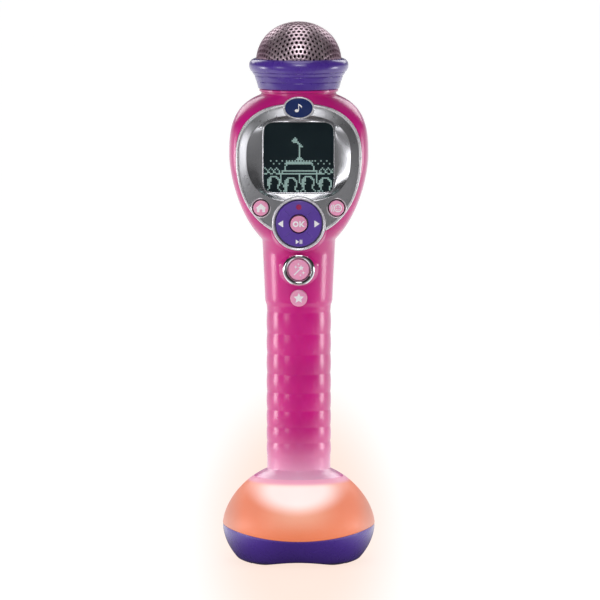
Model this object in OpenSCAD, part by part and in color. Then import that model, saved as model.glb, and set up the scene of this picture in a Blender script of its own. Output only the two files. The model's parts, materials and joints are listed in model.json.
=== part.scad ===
// Toy stage microphone that stands on a domed, lit base.
// Millimetres. +Z is up, the screen faces -Y, and the origin is on the floor under the handle's axis.

/* [Base] */
// Largest radius of the base
base_r = 43.4; // [42.8:0.1:44]
// Height of the base's widest ring above the floor
base_mid_z = 22.4; // [22:0.1:22.8]
// Height of the dome's full curve above the widest ring
dome_rise = 35.2; // [34.8:0.1:35.6]
// Depth of the cover's full curve below the widest ring
cover_drop = 34.3; // [33.9:0.1:34.7]
// Height of the seam between dome and cover, at the left and right
seam_z = 22; // [21.6:0.1:22.4]
// Radius of the cylinder that the seam lies on
seam_bow_r = 163; // [150:1:180]
// Wall of the dome and of the cover
base_wall = 2.2; // [2:0.1:2.4]
// Height of the arch under the base
arch_z = 3.2; // [3:0.1:3.6]
// Half of the arch's width at the floor
arch_half = 20; // [18:0.5:20]
// How far the rubber feet stand out under the cover
foot_drop = 0.6; // [0.5:0.1:0.8]

/* [Handle] */
// Mean radius of the ribbed grip
grip_r = 18.05; // [18:0.05:18.2]
// Height of a grip rib over the groove beside it
rib_h = 0.4; // [0.2:0.05:0.5]
// Number of ribs on the grip
rib_count = 8; // [8:1:8]
// Height of the grip's upper end
grip_top_z = 146.8; // [146.4:0.1:147]
// Radius just above the grip
shoulder_r = 19; // [18.8:0.1:19.2]
// Height where the handle meets the head
head_foot_z = 185.6; // [185.4:0.1:185.8]
// Radius of the handle under the head
handle_top_r = 20.8; // [20.6:0.1:21]
// Wall of the two casing halves
casing_wall = 2; // [1.9:0.1:2.1]

/* [Head] */
// Half of the head's width
head_half_w = 39.6; // [39.2:0.1:40]
// Height of the head's widest line
head_mid_z = 233.7; // [233.4:0.1:234]
// Height of the head's upper curve
head_up = 36.2; // [36:0.1:36.4]
// Depth of the head's lower curve
head_down = 58.6; // [58.2:0.1:59]
// Distance from the axis to the head's front
head_front = 23.5; // [23.3:0.1:23.7]
// Distance from the axis to the head's back
head_back = 25; // [24.8:0.1:25.4]
// Radius of the neck under the collar
neck_r = 21.3; // [21.2:0.1:21.5]
// Height of the neck's lip
neck_top_z = 270.7; // [270.6:0.1:270.8]

/* [Collar and grille] */
// Largest radius of the collar
collar_r = 28.3; // [28:0.1:28.6]
// Height of the collar's upper edge
collar_top_z = 288.1; // [288:0.1:288.2]
// Outer radius of the grille
grille_r = 24.4; // [24.3:0.05:24.4]
// Height of the grille's centre
grille_z = 285.6; // [285.4:0.1:285.8]

/* [Front panel] */
// Half of the silver bezel's width
bezel_half_w = 35.6; // [35.2:0.1:35.8]
// How far the bezel's front is from the axis
bezel_front = 25.2; // [25:0.1:25.4]
// Radius that the bezel's front is bowed to
bezel_bow_r = 450; // [430:10:470]
// Width and height of the visible screen
screen_size = 39.7; // [39:0.1:40]
// Height of the screen's centre
screen_z = 233; // [232.6:0.1:233.4]

/* [Buttons] */
// Height of the direction pad's centre
dpad_z = 195.6; // [195.4:0.1:195.8]
// Outer radius of the ring round the direction pad
dpad_ring_r = 15.3; // [15.2:0.1:15.4]
// Radius of the direction pad
dpad_r = 13.2; // [13:0.1:13.2]
// Radius of the OK button in the pad's middle
ok_r = 4.7; // [4.6:0.1:4.8]
// Sideways distance of the two small buttons from the middle
side_x = 21.4; // [21.3:0.1:21.5]
// Height of the two small buttons
side_z = 204.5; // [204.4:0.1:204.6]
// Radius of the two small buttons
side_r = 4.3; // [4.2:0.1:4.4]
// Height of the upper handle button
wand_z = 169.1; // [168.9:0.1:169.3]
// Outer radius of the chrome ring round the upper handle button
wand_ring_r = 8.8; // [8.6:0.1:9]
// Radius of the upper handle button
wand_r = 6; // [5.9:0.1:6.1]
// Height of the star button
star_z = 152.8; // [152.6:0.1:153]
// Radius of the star button
star_r = 4.8; // [4.7:0.1:4.9]
// Travel of every push button
travel = 1; // [0.8:0.1:1]

/* [Batteries] */
// Diameter of one AA cell
cell_d = 14.5; // [14.3:0.1:14.5]
// Length of one AA cell with its terminal
cell_l = 50.5; // [50.3:0.1:50.5]
// Sideways distance of each cell's axis
cell_x = 7.4; // [7.35:0.05:7.4]
// How far behind the handle's axis the cells lie
cell_y = 4; // [3.8:0.1:4.1]
// Pitch of two cells in line
cell_pitch = 50.6; // [50.6:0.1:50.8]
// Height of the lower cells' bottom end
cell_z = 60.5; // [60.3:0.1:60.7]

/* [Hidden] */
$fn = 48;
gap = 0.15;             // clearance round a part that is set into another
cut = 1;                // how far a cutting solid runs past the surface it cuts
arc_n = 16;             // facets round half of the head
hinge_y = 18.3;         // hinge line of the battery door
hinge_z = 58.9;
door_half = 14.7;       // half of the battery door's width
door_top_z = 163;
tab_half = 6.5;         // half of the width of the door's screw tab
tab_top_z = 174;
door_screw_z = 169;
foot_ring_z = 49.6;     // underside of the handle's flared foot
bore_r = 16;            // inside of the grip
revolve_top_z = 176;    // the casing is round up to here and lofted above
join = 0.4;             // overlap of the round and the lofted stretch
floor_y = -18.6;        // front of the plate behind the direction pad
badge_half_w = 8.8;     // half of the badge's width
badge_half_h = 6.3;     // half of the badge's height
pivot_y = -20.1;        // axes on which the direction pad rocks
pivot_pin_r = 0.55;     // radius of the pins on those axes
ear_at = 7.2;           // distance of the ears from the pad's middle
flange_y = -17.2;       // front of the retaining flanges on the caps
mat_y = flange_y + 1 + travel;  // front of the rubber keypad mat in the head
pcb_y = -13.8;          // front of the main board
pcb_t = 1.6;
skirt_y = -15.4;         // back edge of the bezel's skirt
lcd_y = -21.6;          // front of the screen window
lcd_half = 20.9;        // half of the width of the window and the panel
frame_half = 21.9;      // half of the width of the frame round them
screw_r = 1.3;
screw_hole_r = 1.35;
CASING_SCREWS = [[-31, 226], [31, 226], [-29.5, 251], [29.5, 251], [-14.2, 181], [14.2, 181]];
BASE_POSTS = [[-24, -16], [24, -16], [-24, 16], [24, 16]];
DPAD_DIRECTIONS = [0, 90, 180, 270];
cells_top_z = cell_z + cell_l + cell_pitch;
LED_ANGLES = [-125, -90, -55, 55, 90, 125];
led_ring_r = 27;
clamp_ring_r = 20.2;    // circle of the clamp ring's screws
CLAMP_ANGLES = [30, 150, 270];
led_z = 22.5;

PINK = [0.86, 0.14, 0.56];
PALE_PINK = [0.93, 0.45, 0.68];
PURPLE = [0.33, 0.2, 0.6];
SILVER = [0.75, 0.75, 0.78];
CHROME = [0.85, 0.85, 0.88];
BOARD = [0.1, 0.4, 0.2];
BLACK = [0.06, 0.06, 0.07];
STEEL = [0.6, 0.6, 0.62];
WHITE = [0.92, 0.92, 0.92];

// ---------- shape functions ----------

function mix(a, b, t) = a + (b - a) * t;
function ease(a, b, x) = let (t = max(0, min(1, (x - a) / (b - a)))) t * t * (3 - 2 * t);

// Radius of the base's outer surface at height z.
function base_dome_r(z) = base_r * sqrt(1 - pow((z - base_mid_z) / dome_rise, 1.65));
function base_cover_r(z) =
    base_r * sqrt(1 - pow((base_mid_z - z) / cover_drop, 1.9)) - 0.45 * pow(max(0, 3 - z), 2);
function base_surface_r(z) = z > base_mid_z ? base_dome_r(z) : base_cover_r(z);

// Radius of the plain handle above the grip.
function handle_r(z) =
    shoulder_r + (handle_top_r - shoulder_r) * (z - grip_top_z) / (head_foot_z - grip_top_z);

// Half-width, depths and squareness of the casing at height z.
function head_lower_w(z) =
    head_half_w * sqrt(max(0, 1 - pow(min(1, (head_mid_z - z) / head_down), 1.7)));
function head_upper_w(z) =
    head_half_w * pow(max(0, 1 - pow(min(1, (z - head_mid_z) / head_up), 2.8)), 1 / 2.8);
function casing_w(z) =
    z < head_mid_z ? max(handle_r(min(z, head_foot_z)), head_lower_w(z)) : max(neck_r, head_upper_w(z));
function casing_d(z, deep) =
    mix(mix(handle_r(min(z, head_foot_z)), deep, ease(177, 200, z)), neck_r, ease(246, 267, z));
function casing_n(z, square) = 2 + (square - 2) * ease(178, 198, z) * (1 - ease(250, 266, z));

// Half of a superellipse, from +X over +Y to -X.
function half_section(w, d, n, z) = [
    for (i = [0 : arc_n])
    let (t = 180 * i / arc_n)
    [w * sign(cos(t)) * pow(abs(cos(t)), 2 / n), d * pow(sin(t), 2 / n), z]
];

// An egg-shaped outline about the screen's middle line: half-width w, height up and depth down.
function egg(w, up, down, e_top, e_side, e_bottom) = concat(
    [for (a = [0 : 6 : 90]) [w * pow(cos(a), 2 / e_top), up * pow(sin(a), 2 / e_top)]],
    [for (a = [84 : -6 : 6]) [-w * pow(cos(a), 2 / e_top), up * pow(sin(a), 2 / e_top)]],
    [for (a = [0 : 6 : 90]) [-w * pow(cos(a), 2 / e_side), -down * pow(sin(a), 2 / e_bottom)]],
    [for (a = [84 : -6 : 6]) [w * pow(cos(a), 2 / e_side), -down * pow(sin(a), 2 / e_bottom)]]
);

// ---------- helpers ----------

// A cylinder along Y at (x, z), from y0 back to y1.
module y_rod(x, z, r, y0, y1) {
    translate([x, y1, z]) rotate([90, 0, 0]) cylinder(h = y1 - y0, r = r);
}

// An outline drawn in X and Z, extruded from y0 back to y1.
module y_slab(y0, y1) {
    translate([0, y1, 0]) rotate([90, 0, 0]) linear_extrude(y1 - y0) children();
}

module y_box(x0, x1, y0, y1, z0, z1) {
    translate([x0, y0, z0]) cube([x1 - x0, y1 - y0, z1 - z0]);
}

module rounded_square(size, r) {
    half = size / 2;
    union() {
        square([size, size - 2 * r], center = true);
        square([size - 2 * r, size], center = true);
        for (x = [-1, 1], z = [-1, 1]) translate([x * (half - r), z * (half - r)]) circle(r);
    }
}

// ---------- casing ----------

// Height of the groove under rib number k, counted from the top: the ribs get shorter downwards.
function groove_z(k) = 143.9 - 12.6 * k + 0.28 * k * k;
// Radius of the grip over rib number k, at the part t of its height.
function rib_r(t) = grip_r - rib_h + 1.6 * rib_h * sqrt(1 - pow(2 * t - 1, 4));

GRIP_PROFILE = [
    for (k = [rib_count - 1 : -1 : 0], i = [0 : 7])
    let (low = groove_z(k + 1), high = groove_z(k), t = i / 8)
    [rib_r(t), low + (high - low) * t]
];

// The round stretch of the casing: flared foot, ribbed grip and plain shoulder.
module handle_profile() {
    polygon(concat(
        [[bore_r, 45.6], [bore_r + casing_wall, 45.6], [bore_r + casing_wall, foot_ring_z]],
        [for (z = [foot_ring_z : 0.8 : 53.6]) [base_dome_r(z), z]],
        [[grip_r, 54.4], [grip_r, groove_z(rib_count) - 0.5]],
        GRIP_PROFILE,
        [[rib_r(0), groove_z(0)], [grip_r + 0.25, groove_z(0) + 1], [grip_r + 0.25, grip_top_z]],
        [[shoulder_r, grip_top_z + 0.4], [handle_r(revolve_top_z), revolve_top_z]],
        [[handle_r(revolve_top_z) - casing_wall, revolve_top_z], [bore_r + 1, grip_top_z + 2]],
        [[bore_r, grip_top_z]]
    ));
}

LOFT_Z = [
    revolve_top_z - join, 181, head_foot_z, 188.5, 192.5, 197.5, 203.5, 210.5, 218, 226, head_mid_z,
    241, 247.5, 253, 257.5, 261, 263.6, 265.6, 267.2, 268.6
];

// The inner wall follows the outer one, sampled a little further out where the head closes.
function inner_shift(z) = 1.2 * (ease(225, 250, z) - ease(235, 195, z) * ease(184, 192, z));
function outer_ring(z, deep, square) = half_section(casing_w(z), casing_d(z, deep), casing_n(z, square), z);
function inner_ring(z, deep, square) = half_section(
    casing_w(z + inner_shift(z)) - casing_wall, casing_d(z, deep) - casing_wall, casing_n(z, square), z);

function reversed(list) = [for (i = [len(list) - 1 : -1 : 0]) list[i]];

// Half of the head as a closed shell on the +Y side.
module head_shell(deep, square) {
    rings = [for (z = LOFT_Z) concat(outer_ring(z, deep, square), reversed(inner_ring(z, deep, square)))];
    m = 2 * (arc_n + 1);
    top = (len(LOFT_Z) - 1) * m;
    polyhedron(
        points = [for (ring = rings, p = ring) p],
        faces = concat(
            [for (j = [0 : len(LOFT_Z) - 2], i = [0 : m - 1])
                [j * m + i, (j + 1) * m + i, (j + 1) * m + (i + 1) % m, j * m + (i + 1) % m]],
            [for (i = [0 : arc_n - 1]) [i, i + 1, m - 2 - i, m - 1 - i]],
            [for (i = [0 : arc_n - 1]) [top + m - 1 - i, top + m - 2 - i, top + i + 1, top + i]]
        )
    );
}

// Half of the head filled up, to trim what is built onto the shell's inside.
module head_core(deep, square) {
    rings = [for (z = LOFT_Z) half_section(
        casing_w(z) - casing_wall / 2, casing_d(z, deep) - casing_wall / 2, casing_n(z, square), z)];
    m = arc_n + 1;
    top = (len(LOFT_Z) - 1) * m;
    polyhedron(
        points = [for (ring = rings, p = ring) p],
        faces = concat(
            [for (j = [0 : len(LOFT_Z) - 2], i = [0 : m - 1])
                [j * m + i, (j + 1) * m + i, (j + 1) * m + (i + 1) % m, j * m + (i + 1) % m]],
            [[for (i = [0 : m - 1]) i]],
            [[for (i = [m - 1 : -1 : 0]) top + i]]
        )
    );
}

// One casing half on the +Y side: round handle, lofted head and the neck's lip.
module casing_half(deep, square) {
    rotate_extrude(angle = 180) handle_profile();
    head_shell(deep, square);
    rotate_extrude(angle = 180) polygon([
        [neck_r - casing_wall, 268.2], [neck_r - 0.05, 268.2], [neck_r, 269.2], [neck_r + 1.1, 269.6],
        [neck_r + 1.2, neck_top_z - 0.3], [neck_r + 0.9, neck_top_z], [neck_r - casing_wall, neck_top_z]
    ]);
}

module bezel_outline(grow) {
    translate([0, head_mid_z])
        polygon(egg(bezel_half_w + grow, 29.8 + grow, 46 + grow, 2.4, 2, 2.3));
}

module front_casing() {
    color(PINK) difference() {
        union() {
            mirror([0, 1, 0]) casing_half(head_front, 4.5);
            // sloped boss that carries the ring of the direction pad
            translate([0, -18, dpad_z]) rotate([90, 0, 0]) cylinder(h = 6.4, r1 = 17.6, r2 = 15.9);
            for (s = CASING_SCREWS) {
                // post, and the web that ties it to the side wall
                wall_x = sign(s[0]) * (casing_w(s[1]) - 1);
                y_rod(s[0], s[1], 3.2, -11, -gap);
                y_box(min(s[0], wall_x), max(s[0], wall_x), -10, -gap, s[1] - 0.8, s[1] + 0.8);
            }
        }
        for (s = CASING_SCREWS) y_rod(s[0], s[1], screw_hole_r, -9.5, cut);
        y_slab(-40, -12) bezel_outline(gap);
        y_rod(0, dpad_z, dpad_ring_r + gap, -40, -12);
        y_rod(0, wand_z, wand_ring_r - 1 + gap, -40, -12);
        // flat seat under the ring's edge
        y_rod(0, wand_z, wand_ring_r + gap, -40, -20.05);
        y_rod(0, star_z, star_r + gap, -40, -12);
    }
}

// Round holes in rings, in front of the loudspeaker.
module speaker_holes() {
    y_rod(0, screen_z, 1.2, 12, 40);
    for (ring = [1 : 3], k = [0 : 6 * ring - 1])
        rotate_about_y(screen_z, 60 * k / ring) y_rod(4.4 * ring, screen_z, 1.2, 12, 40);
}

module rotate_about_y(z, a) {
    translate([0, 0, z]) rotate([0, a, 0]) translate([0, 0, -z]) children();
}

module rear_casing() {
    color(PINK) difference() {
        union() {
            casing_half(head_back, 2.5);
            intersection() {
                head_core(head_back, 2.5);
                for (s = CASING_SCREWS) y_rod(s[0], s[1], 3.9, gap, 30);
            }
        }
        for (s = CASING_SCREWS) {
            y_rod(s[0], s[1], 1.6, -cut, 30);
            y_rod(s[0], s[1], 2.9, 5, 30);
        }
        y_box(-door_half - 0.2, door_half + 0.2, 5, 30, hinge_z - 0.1, door_top_z + 0.2);
        y_box(-tab_half - 0.2, tab_half + 0.2, 5, 30, door_top_z, tab_top_z + 0.2);
        y_box(-5, 5, 10, 30, 187.4, 192.6);
        speaker_holes();
    }
}

// ---------- collar, grille and microphone ----------

module collar() {
    color(PURPLE) rotate_extrude() polygon(concat(
        [[17.3, 263.5], [18.9, 263.5], [18.9, neck_top_z + 0.1], [22.8, neck_top_z + 0.1]],
        [[23.2, 271.2], [24.1, 274.7], [24.2, 275.2], [24.6, 275.5], [25.2, 277.9], [25.4, 278.2]],
        [[25.9, 278.5], [26.4, 280.2], [26.9, 280.6], [27.5, 280.7], [28, 281.4]],
        [for (a = [-20 : 15 : 70]) [24.9 + (collar_r - 24.9) * cos(a), 284 + 3.9 * sin(a)]],
        [[25.2, collar_top_z], [24.55, 287.8], [24.55, 282.6], [20.8, 282.6], [20.8, 276.2], [17.3, 276.2]]
    ));
}

// A point of the grille's arc, as radius and height; the dome is a little flattened on top.
function arc_point(r, a) = [r * cos(a), grille_z + r * (sin(a) - 0.045 * pow(sin(a), 3))];

// A dome-shaped skin between two radii, cut off at height low.
module dome_skin(outer, inner, low) {
    a0 = asin((low - grille_z) / outer);
    b0 = asin((low - grille_z) / inner);
    rotate_extrude() polygon(concat(
        [for (i = [0 : 16]) arc_point(outer, a0 + (90 - a0) * i / 16)],
        [for (i = [16 : -1 : 0]) arc_point(inner, b0 + (90 - b0) * i / 16)]
    ));
}

module grille() {
    color(SILVER) dome_skin(grille_r, grille_r - 0.9, 282.8);
}

module grille_foam() {
    color(BLACK) dome_skin(grille_r - 1.2, grille_r - 3.6, 282.9);
}

module mic_holder() {
    color(BLACK) rotate_extrude() polygon([
        [5, 276.4], [20.5, 276.4], [20.5, 278.2], [7.4, 278.2], [7.2, 292], [5, 292]
    ]);
}

module mic_capsule() {
    color(STEEL) translate([0, 0, 284.5]) cylinder(h = 7, r = 4.9);
}

// ---------- bezel, badge and screen ----------

// Everything behind the bezel's bowed front, set back by depth.
module behind_bow(depth) {
    translate([0, bezel_bow_r - bezel_front, 150]) cylinder(h = 160, r = bezel_bow_r - depth, $fn = 96);
}

module badge_outline(grow) {
    translate([0, 261.3])
        polygon([
            for (a = [0 : 10 : 350])
            [(badge_half_w + grow) * cos(a), (badge_half_h + grow) * sin(a)]
        ]);
}

module bezel() {
    color(SILVER) difference() {
        union() {
            intersection() {
                y_slab(-30, skirt_y) bezel_outline(0);
                behind_bow(0);
            }
            // collars round the two small buttons
            for (x = [-side_x, side_x]) y_rod(x, side_z, side_r + 0.7, -25.4, -22.7);
        }
        // room for the flanges of the two small buttons
        for (x = [-side_x, side_x]) y_rod(x, side_z, 5.6, -21.3, 0);
        // grey flange inside the outer rim
        difference() {
            y_slab(-30, skirt_y) bezel_outline(-1.3);
            behind_bow(0.8);
            for (x = [-side_x, side_x]) y_rod(x, side_z, side_r + 0.7, -25.4, -20);
        }
        // hollow back
        intersection() {
            y_slab(-30, -12) bezel_outline(-1.7);
            behind_bow(2.6);
        }
        // dish round the screen
        difference() {
            y_slab(-30, -15) translate([0, head_mid_z]) polygon(egg(29.4, 23.2, 25.6, 2.5, 2.6, 2.6));
            behind_bow(1.7);
        }
        y_slab(-40, 0) translate([0, screen_z]) rounded_square(screen_size, 3);
        y_slab(-40, -20) badge_outline(gap);
        y_rod(0, dpad_z, dpad_ring_r + gap, -40, 0);
        for (x = [-side_x, side_x]) y_rod(x, side_z, side_r + gap, -40, 0);
    }
}

module badge_rim() {
    color(SILVER) difference() {
        y_slab(-26.6, -22) badge_outline(0);
        y_slab(-40, -24.4) badge_outline(-0.8);
    }
}

module badge() {
    color([0.1, 0.15, 0.4]) y_slab(-26.4, -24.4) badge_outline(-0.9);
}

module screen_window() {
    color([0.1, 0.12, 0.12]) y_slab(lcd_y, lcd_y + 1)
        translate([0, screen_z]) rounded_square(2 * lcd_half, 3);
}

module lcd_plate(y0, y1, half) {
    y_box(-half, half, y0, y1, screen_z - half, screen_z + half);
}

module lcd_panel() {
    color([0.1, 0.16, 0.15]) lcd_plate(lcd_y + 1.1, lcd_y + 3.3, lcd_half);
}

module lcd_frame() {
    color(WHITE) difference() {
        lcd_plate(lcd_y + 1.1, pcb_y, frame_half);
        lcd_plate(-30, 0, lcd_half + 0.15);
    }
}

module backlight() {
    color(WHITE) lcd_plate(lcd_y + 3.4, lcd_y + 6.2, lcd_half);
}

// ---------- direction pad and buttons in the head ----------

module dpad_ring() {
    color(SILVER) difference() {
        y_rod(0, dpad_z, dpad_ring_r, -26.4, -17.4);
        difference() {
            y_rod(0, dpad_z, dpad_r + 0.55, -40, floor_y);
            // ears that hold the pivot's sideways pins
            for (x = [-ear_at, ear_at])
                y_box(x - 0.7, x + 0.7, pivot_y - 0.8, 0, dpad_z - 1.2, dpad_z + 1.2);
        }
        pivot_pins(0, pivot_pin_r + 0.1);
        y_rod(0, dpad_z, ok_r + 0.3, -40, 0);
        for (a = DPAD_DIRECTIONS)
            rotate_about_y(dpad_z, a) y_rod(10.2, dpad_z, 2.2, -40, 0);
    }
}

module dpad() {
    color(PURPLE) difference() {
        union() {
            translate([0, -21.6, dpad_z]) rotate([90, 0, 0]) rotate_extrude() polygon([
                [0, 0], [dpad_r, 0], [dpad_r, 3.2], [dpad_r - 0.4, 4.2], [dpad_r - 1.3, 4.7], [0, 5.3]
            ]);
            for (a = DPAD_DIRECTIONS)
                rotate_about_y(dpad_z, a) y_rod(10.2, dpad_z, 1.3, -22, -16.6);
            // ears that hold the pivot's upright pins
            for (z = [dpad_z - ear_at, dpad_z + ear_at])
                y_box(-1.2, 1.2, -22, pivot_y + 0.8, z - 0.7, z + 0.7);
        }
        y_rod(0, dpad_z, ok_r + 0.75, -40, 0);
        pivot_pins(90, pivot_pin_r + 0.1);
        // shallow grooves between the four directions
        for (a = [45, 135, 225, 315])
            rotate_about_y(dpad_z, a) y_box(6.7, 10.5, -40, -26.3, dpad_z - 0.3, dpad_z + 0.3);
    }
}

// A rod through the pivot, lying sideways at 0 degrees and upright at 90.
module pivot_pins(a, r) {
    translate([0, pivot_y, dpad_z]) rotate([0, 90 + a, 0])
        cylinder(h = 2 * ear_at + 1.4, r = r, center = true, $fn = 24);
}

// Gimbal ring: its sideways pins turn in the ring's ears, its upright pins in the pad's.
module dpad_pivot() {
    color(BLACK) difference() {
        union() {
            y_rod(0, dpad_z, ear_at - 0.9, pivot_y - 0.7, pivot_y + 0.7);
            for (a = [0, 90]) pivot_pins(a, pivot_pin_r);
        }
        y_rod(0, dpad_z, 5.2, -30, 0);
    }
}

// A round cap with a stem and a retaining flange, about the Y axis through (x, z).
module cap(x, z, r, front, cap_back, stem_r, flange_r, flange_front, back) {
    translate([x, 0, z]) rotate([90, 0, 0]) rotate_extrude() polygon([
        [0, -front], [r - 1, -front - 0.3], [r - 0.2, -front - 0.8], [r, -front - 1.4], [r, -cap_back],
        [stem_r, -cap_back], [stem_r, -flange_front], [flange_r, -flange_front],
        [flange_r, -flange_front - 0.8], [stem_r, -flange_front - 0.8], [stem_r, -back], [0, -back]
    ]);
}

module ok_button() {
    color(PALE_PINK) cap(0, dpad_z, ok_r, -28, -22, 3.4, 5.6, flange_y, -16.3);
}

module home_button() {
    color(PALE_PINK) cap(-side_x, side_z, side_r, -26.2, -22.2, 3, 5.3, -20.9, -16.3);
}

module voice_button() {
    color(PALE_PINK) cap(side_x, side_z, side_r, -26.2, -22.2, 3, 5.3, -20.9, -16.3);
}

// ---------- handle buttons ----------

module wand_ring() {
    color(CHROME) translate([0, 0, wand_z]) rotate([90, 0, 0]) rotate_extrude() polygon([
        [wand_r + 0.2, 15.5], [wand_ring_r - 1, 15.5], [wand_ring_r - 1, 20.1], [wand_ring_r, 20.1],
        [wand_ring_r, 20.6], [wand_ring_r - 0.5, 21.8], [wand_ring_r - 1.3, 22.5], [wand_r + 0.8, 22.5],
        [wand_r + 0.2, 21.9]
    ]);
}

module wand_button() {
    color(PALE_PINK) cap(0, wand_z, wand_r, -22.6, -16, 3.4, 7.2, -15.3, -13.9);
}

module star_button() {
    color(PALE_PINK) cap(0, star_z, star_r, -20.8, -16.2, 3.2, 5.8, -15.6, -13.9);
}

// ---------- boards and keypads ----------

module keypad_mat() {
    color(WHITE) y_slab(mat_y, pcb_y) polygon([
        [-13, 186], [-20, 192], [-25.5, 201], [-25.5, 208.4],
        [25.5, 208.4], [25.5, 201], [20, 192], [13, 186]
    ]);
}

module main_board() {
    color(BOARD) difference() {
        union() {
            y_slab(pcb_y, pcb_y + pcb_t) polygon([
                [-12, 185.5], [-20, 192], [-25.5, 201], [-26.5, 212], [-26.5, 258],
                [26.5, 258], [26.5, 212], [25.5, 201], [20, 192], [12, 185.5]
            ]);
            y_box(-9, 9, pcb_y + pcb_t, pcb_y + pcb_t + 1.8, 214, 232);
            y_box(10, 22, pcb_y + pcb_t, pcb_y + pcb_t + 2.4, 240, 250);
            y_rod(-18, 220, 3.2, pcb_y + pcb_t, pcb_y + 9);
            y_rod(-18, 240, 2.5, pcb_y + pcb_t, pcb_y + 8);
        }
        for (x = [-24.2, 24.2], z = [212, 255]) y_rod(x, z, 1.2, -20, 0);
    }
}

module board_screws() {
    color(STEEL) for (x = [-24.2, 24.2], z = [212, 255]) {
        y_rod(x, z, 2.1, pcb_y + pcb_t, pcb_y + pcb_t + 1.4);
        y_rod(x, z, 1.1, pcb_y - 0.3, pcb_y + pcb_t);
    }
}

module handle_keypad_mat() {
    color(WHITE) y_box(-7, 7, -12.7, -11.5, 145, 178);
}

module handle_board() {
    color(BOARD) y_box(-7.5, 7.5, -11.5, -10.1, 143, 180);
}

// ---------- sound and power ----------

module speaker() {
    color(STEEL) translate([0, 0, screen_z]) rotate([90, 0, 0]) rotate_extrude() polygon([
        [0, -6], [10.5, -6], [10.5, -10.5], [13, -11], [17, -15.5], [19, -15.5], [19, -17],
        [16.4, -17], [13, -14.2], [4, -13], [0, -14.6]
    ]);
}

module speaker_gasket() {
    color(BLACK) difference() {
        y_rod(0, screen_z, 19, 17, 18.6);
        y_rod(0, screen_z, 16.4, 10, 30);
    }
}

module power_switch() {
    color(BLACK) union() {
        y_box(-7, 7, 9.5, 15.4, 186.6, 193.4);
        for (x = [-4, 0, 4]) y_box(x - 0.4, x + 0.4, 6.5, 10, 189, 190.4);
    }
}

module power_slider() {
    color(BLACK) union() {
        y_box(-7.5, 3.5, 15.6, 16.8, 186.8, 193.2);
        y_box(-4.7, 0.7, 16, 21.9, 187.8, 192.2);
    }
}

module battery_tray() {
    color(BLACK) difference() {
        union() {
            y_box(-13.4, 13.4, -5, -3.6, 57, 166.5);
            y_box(-12.4, 12.4, -4, 9.2, 56, 57.2);
            y_box(-12.4, 12.4, -4, 9.2, 165, 166.2);
            y_rod(0, door_screw_z, 3.4, -5, 13);
        }
        y_rod(0, door_screw_z, 1.65, 4, 30);
    }
}

module one_cell() {
    cylinder(h = cell_l - 1.2, r = cell_d / 2);
    translate([0, 0, cell_l - 1.3]) cylinder(h = 1.3, r = 2.7);
}

module batteries() {
    color([0.5, 0.5, 0.55]) for (k = [0, 1]) {
        translate([-cell_x, cell_y, cell_z + k * cell_pitch]) one_cell();
        translate([cell_x, cell_y, cell_z + cell_l + k * cell_pitch]) rotate([180, 0, 0]) one_cell();
    }
}

// A conical wire spring on the Z axis from z = 0 to z = h, swept as one closed tube.
module wire_spring(r0, r1, h, turns, wire_r) {
    steps = 14 * turns;
    sides = 6;
    function ring_point(i, k) =
        let (t = i / steps, a = 360 * turns * t, r = mix(r0, r1, t) + wire_r * cos(60 * k))
        [r * cos(a), r * sin(a), wire_r + (h - 2 * wire_r) * t + wire_r * sin(60 * k)];
    polyhedron(
        points = [for (i = [0 : steps], k = [0 : sides - 1]) ring_point(i, k)],
        faces = concat(
            [for (i = [0 : steps - 1], k = [0 : sides - 1]) [
                i * sides + k, i * sides + (k + 1) % sides,
                (i + 1) * sides + (k + 1) % sides, (i + 1) * sides + k
            ]],
            [[for (k = [sides - 1 : -1 : 0]) k]],
            [[for (k = [0 : sides - 1]) steps * sides + k]]
        )
    );
}

module battery_springs() {
    color(STEEL) {
        translate([-cell_x, cell_y, 57.7]) wire_spring(4.5, 2.6, cell_z - 57.75, 3, 0.35);
        translate([cell_x, cell_y, 164.5]) rotate([180, 0, 0])
            wire_spring(4.5, 2.6, 164.45 - cells_top_z, 3, 0.35);
    }
}

module battery_plates() {
    color(STEEL) {
        y_box(-12, -2.4, -1.5, 8.8, 57.25, 57.65);
        y_box(2.4, 12, -1.5, 8.8, 57.25, 57.65);
        y_box(2.4, 12, -1.5, 8.8, 57.65, cell_z - 0.05);
        y_box(-12, 12, -1.5, 8.8, 164.55, 164.95);
        y_box(-12, -2.4, -1.5, 8.8, cells_top_z + 0.05, 164.55);
    }
}

module battery_door() {
    color(PINK) difference() {
        union() {
            intersection() {
                rotate_extrude(angle = 180) handle_profile();
                union() {
                    y_box(-door_half, door_half, 5, 30, hinge_z, door_top_z);
                    y_box(-tab_half, tab_half, 5, 30, door_top_z - cut, tab_top_z);
                }
                // the upper corners are rounded about the hinge line, so that they clear the opening
                translate([-30, hinge_y, hinge_z]) rotate([0, 90, 0])
                    cylinder(h = 60, r = tab_top_z - hinge_z, $fn = 96);
                difference() {
                    y_box(-20, 20, 4, 31, hinge_z - cut, tab_top_z + cut);
                    difference() {
                        y_box(-20, -tab_half, 3, 32, 150, 180);
                        door_swing();
                    }
                    difference() {
                        y_box(tab_half, 20, 3, 32, 150, 180);
                        door_swing();
                    }
                }
            }
            // tabs that hook behind the casing's lower edge
            for (x = [-7, 3]) y_box(x, x + 4, 12.6, 14.6, hinge_z, 64);
            for (x = [-7, 3]) y_box(x, x + 4, 12.6, 14, 56.2, 64);
        }
        y_rod(0, door_screw_z, 1.5, 0, 40);
        y_rod(0, door_screw_z, 3, 18.4, 40);
    }
}

// The circle about the hinge line that the wide part of the door swings in.
module door_swing() {
    translate([-30, hinge_y, hinge_z]) rotate([0, 90, 0])
        cylinder(h = 60, r = door_top_z - hinge_z, $fn = 96);
}

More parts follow.
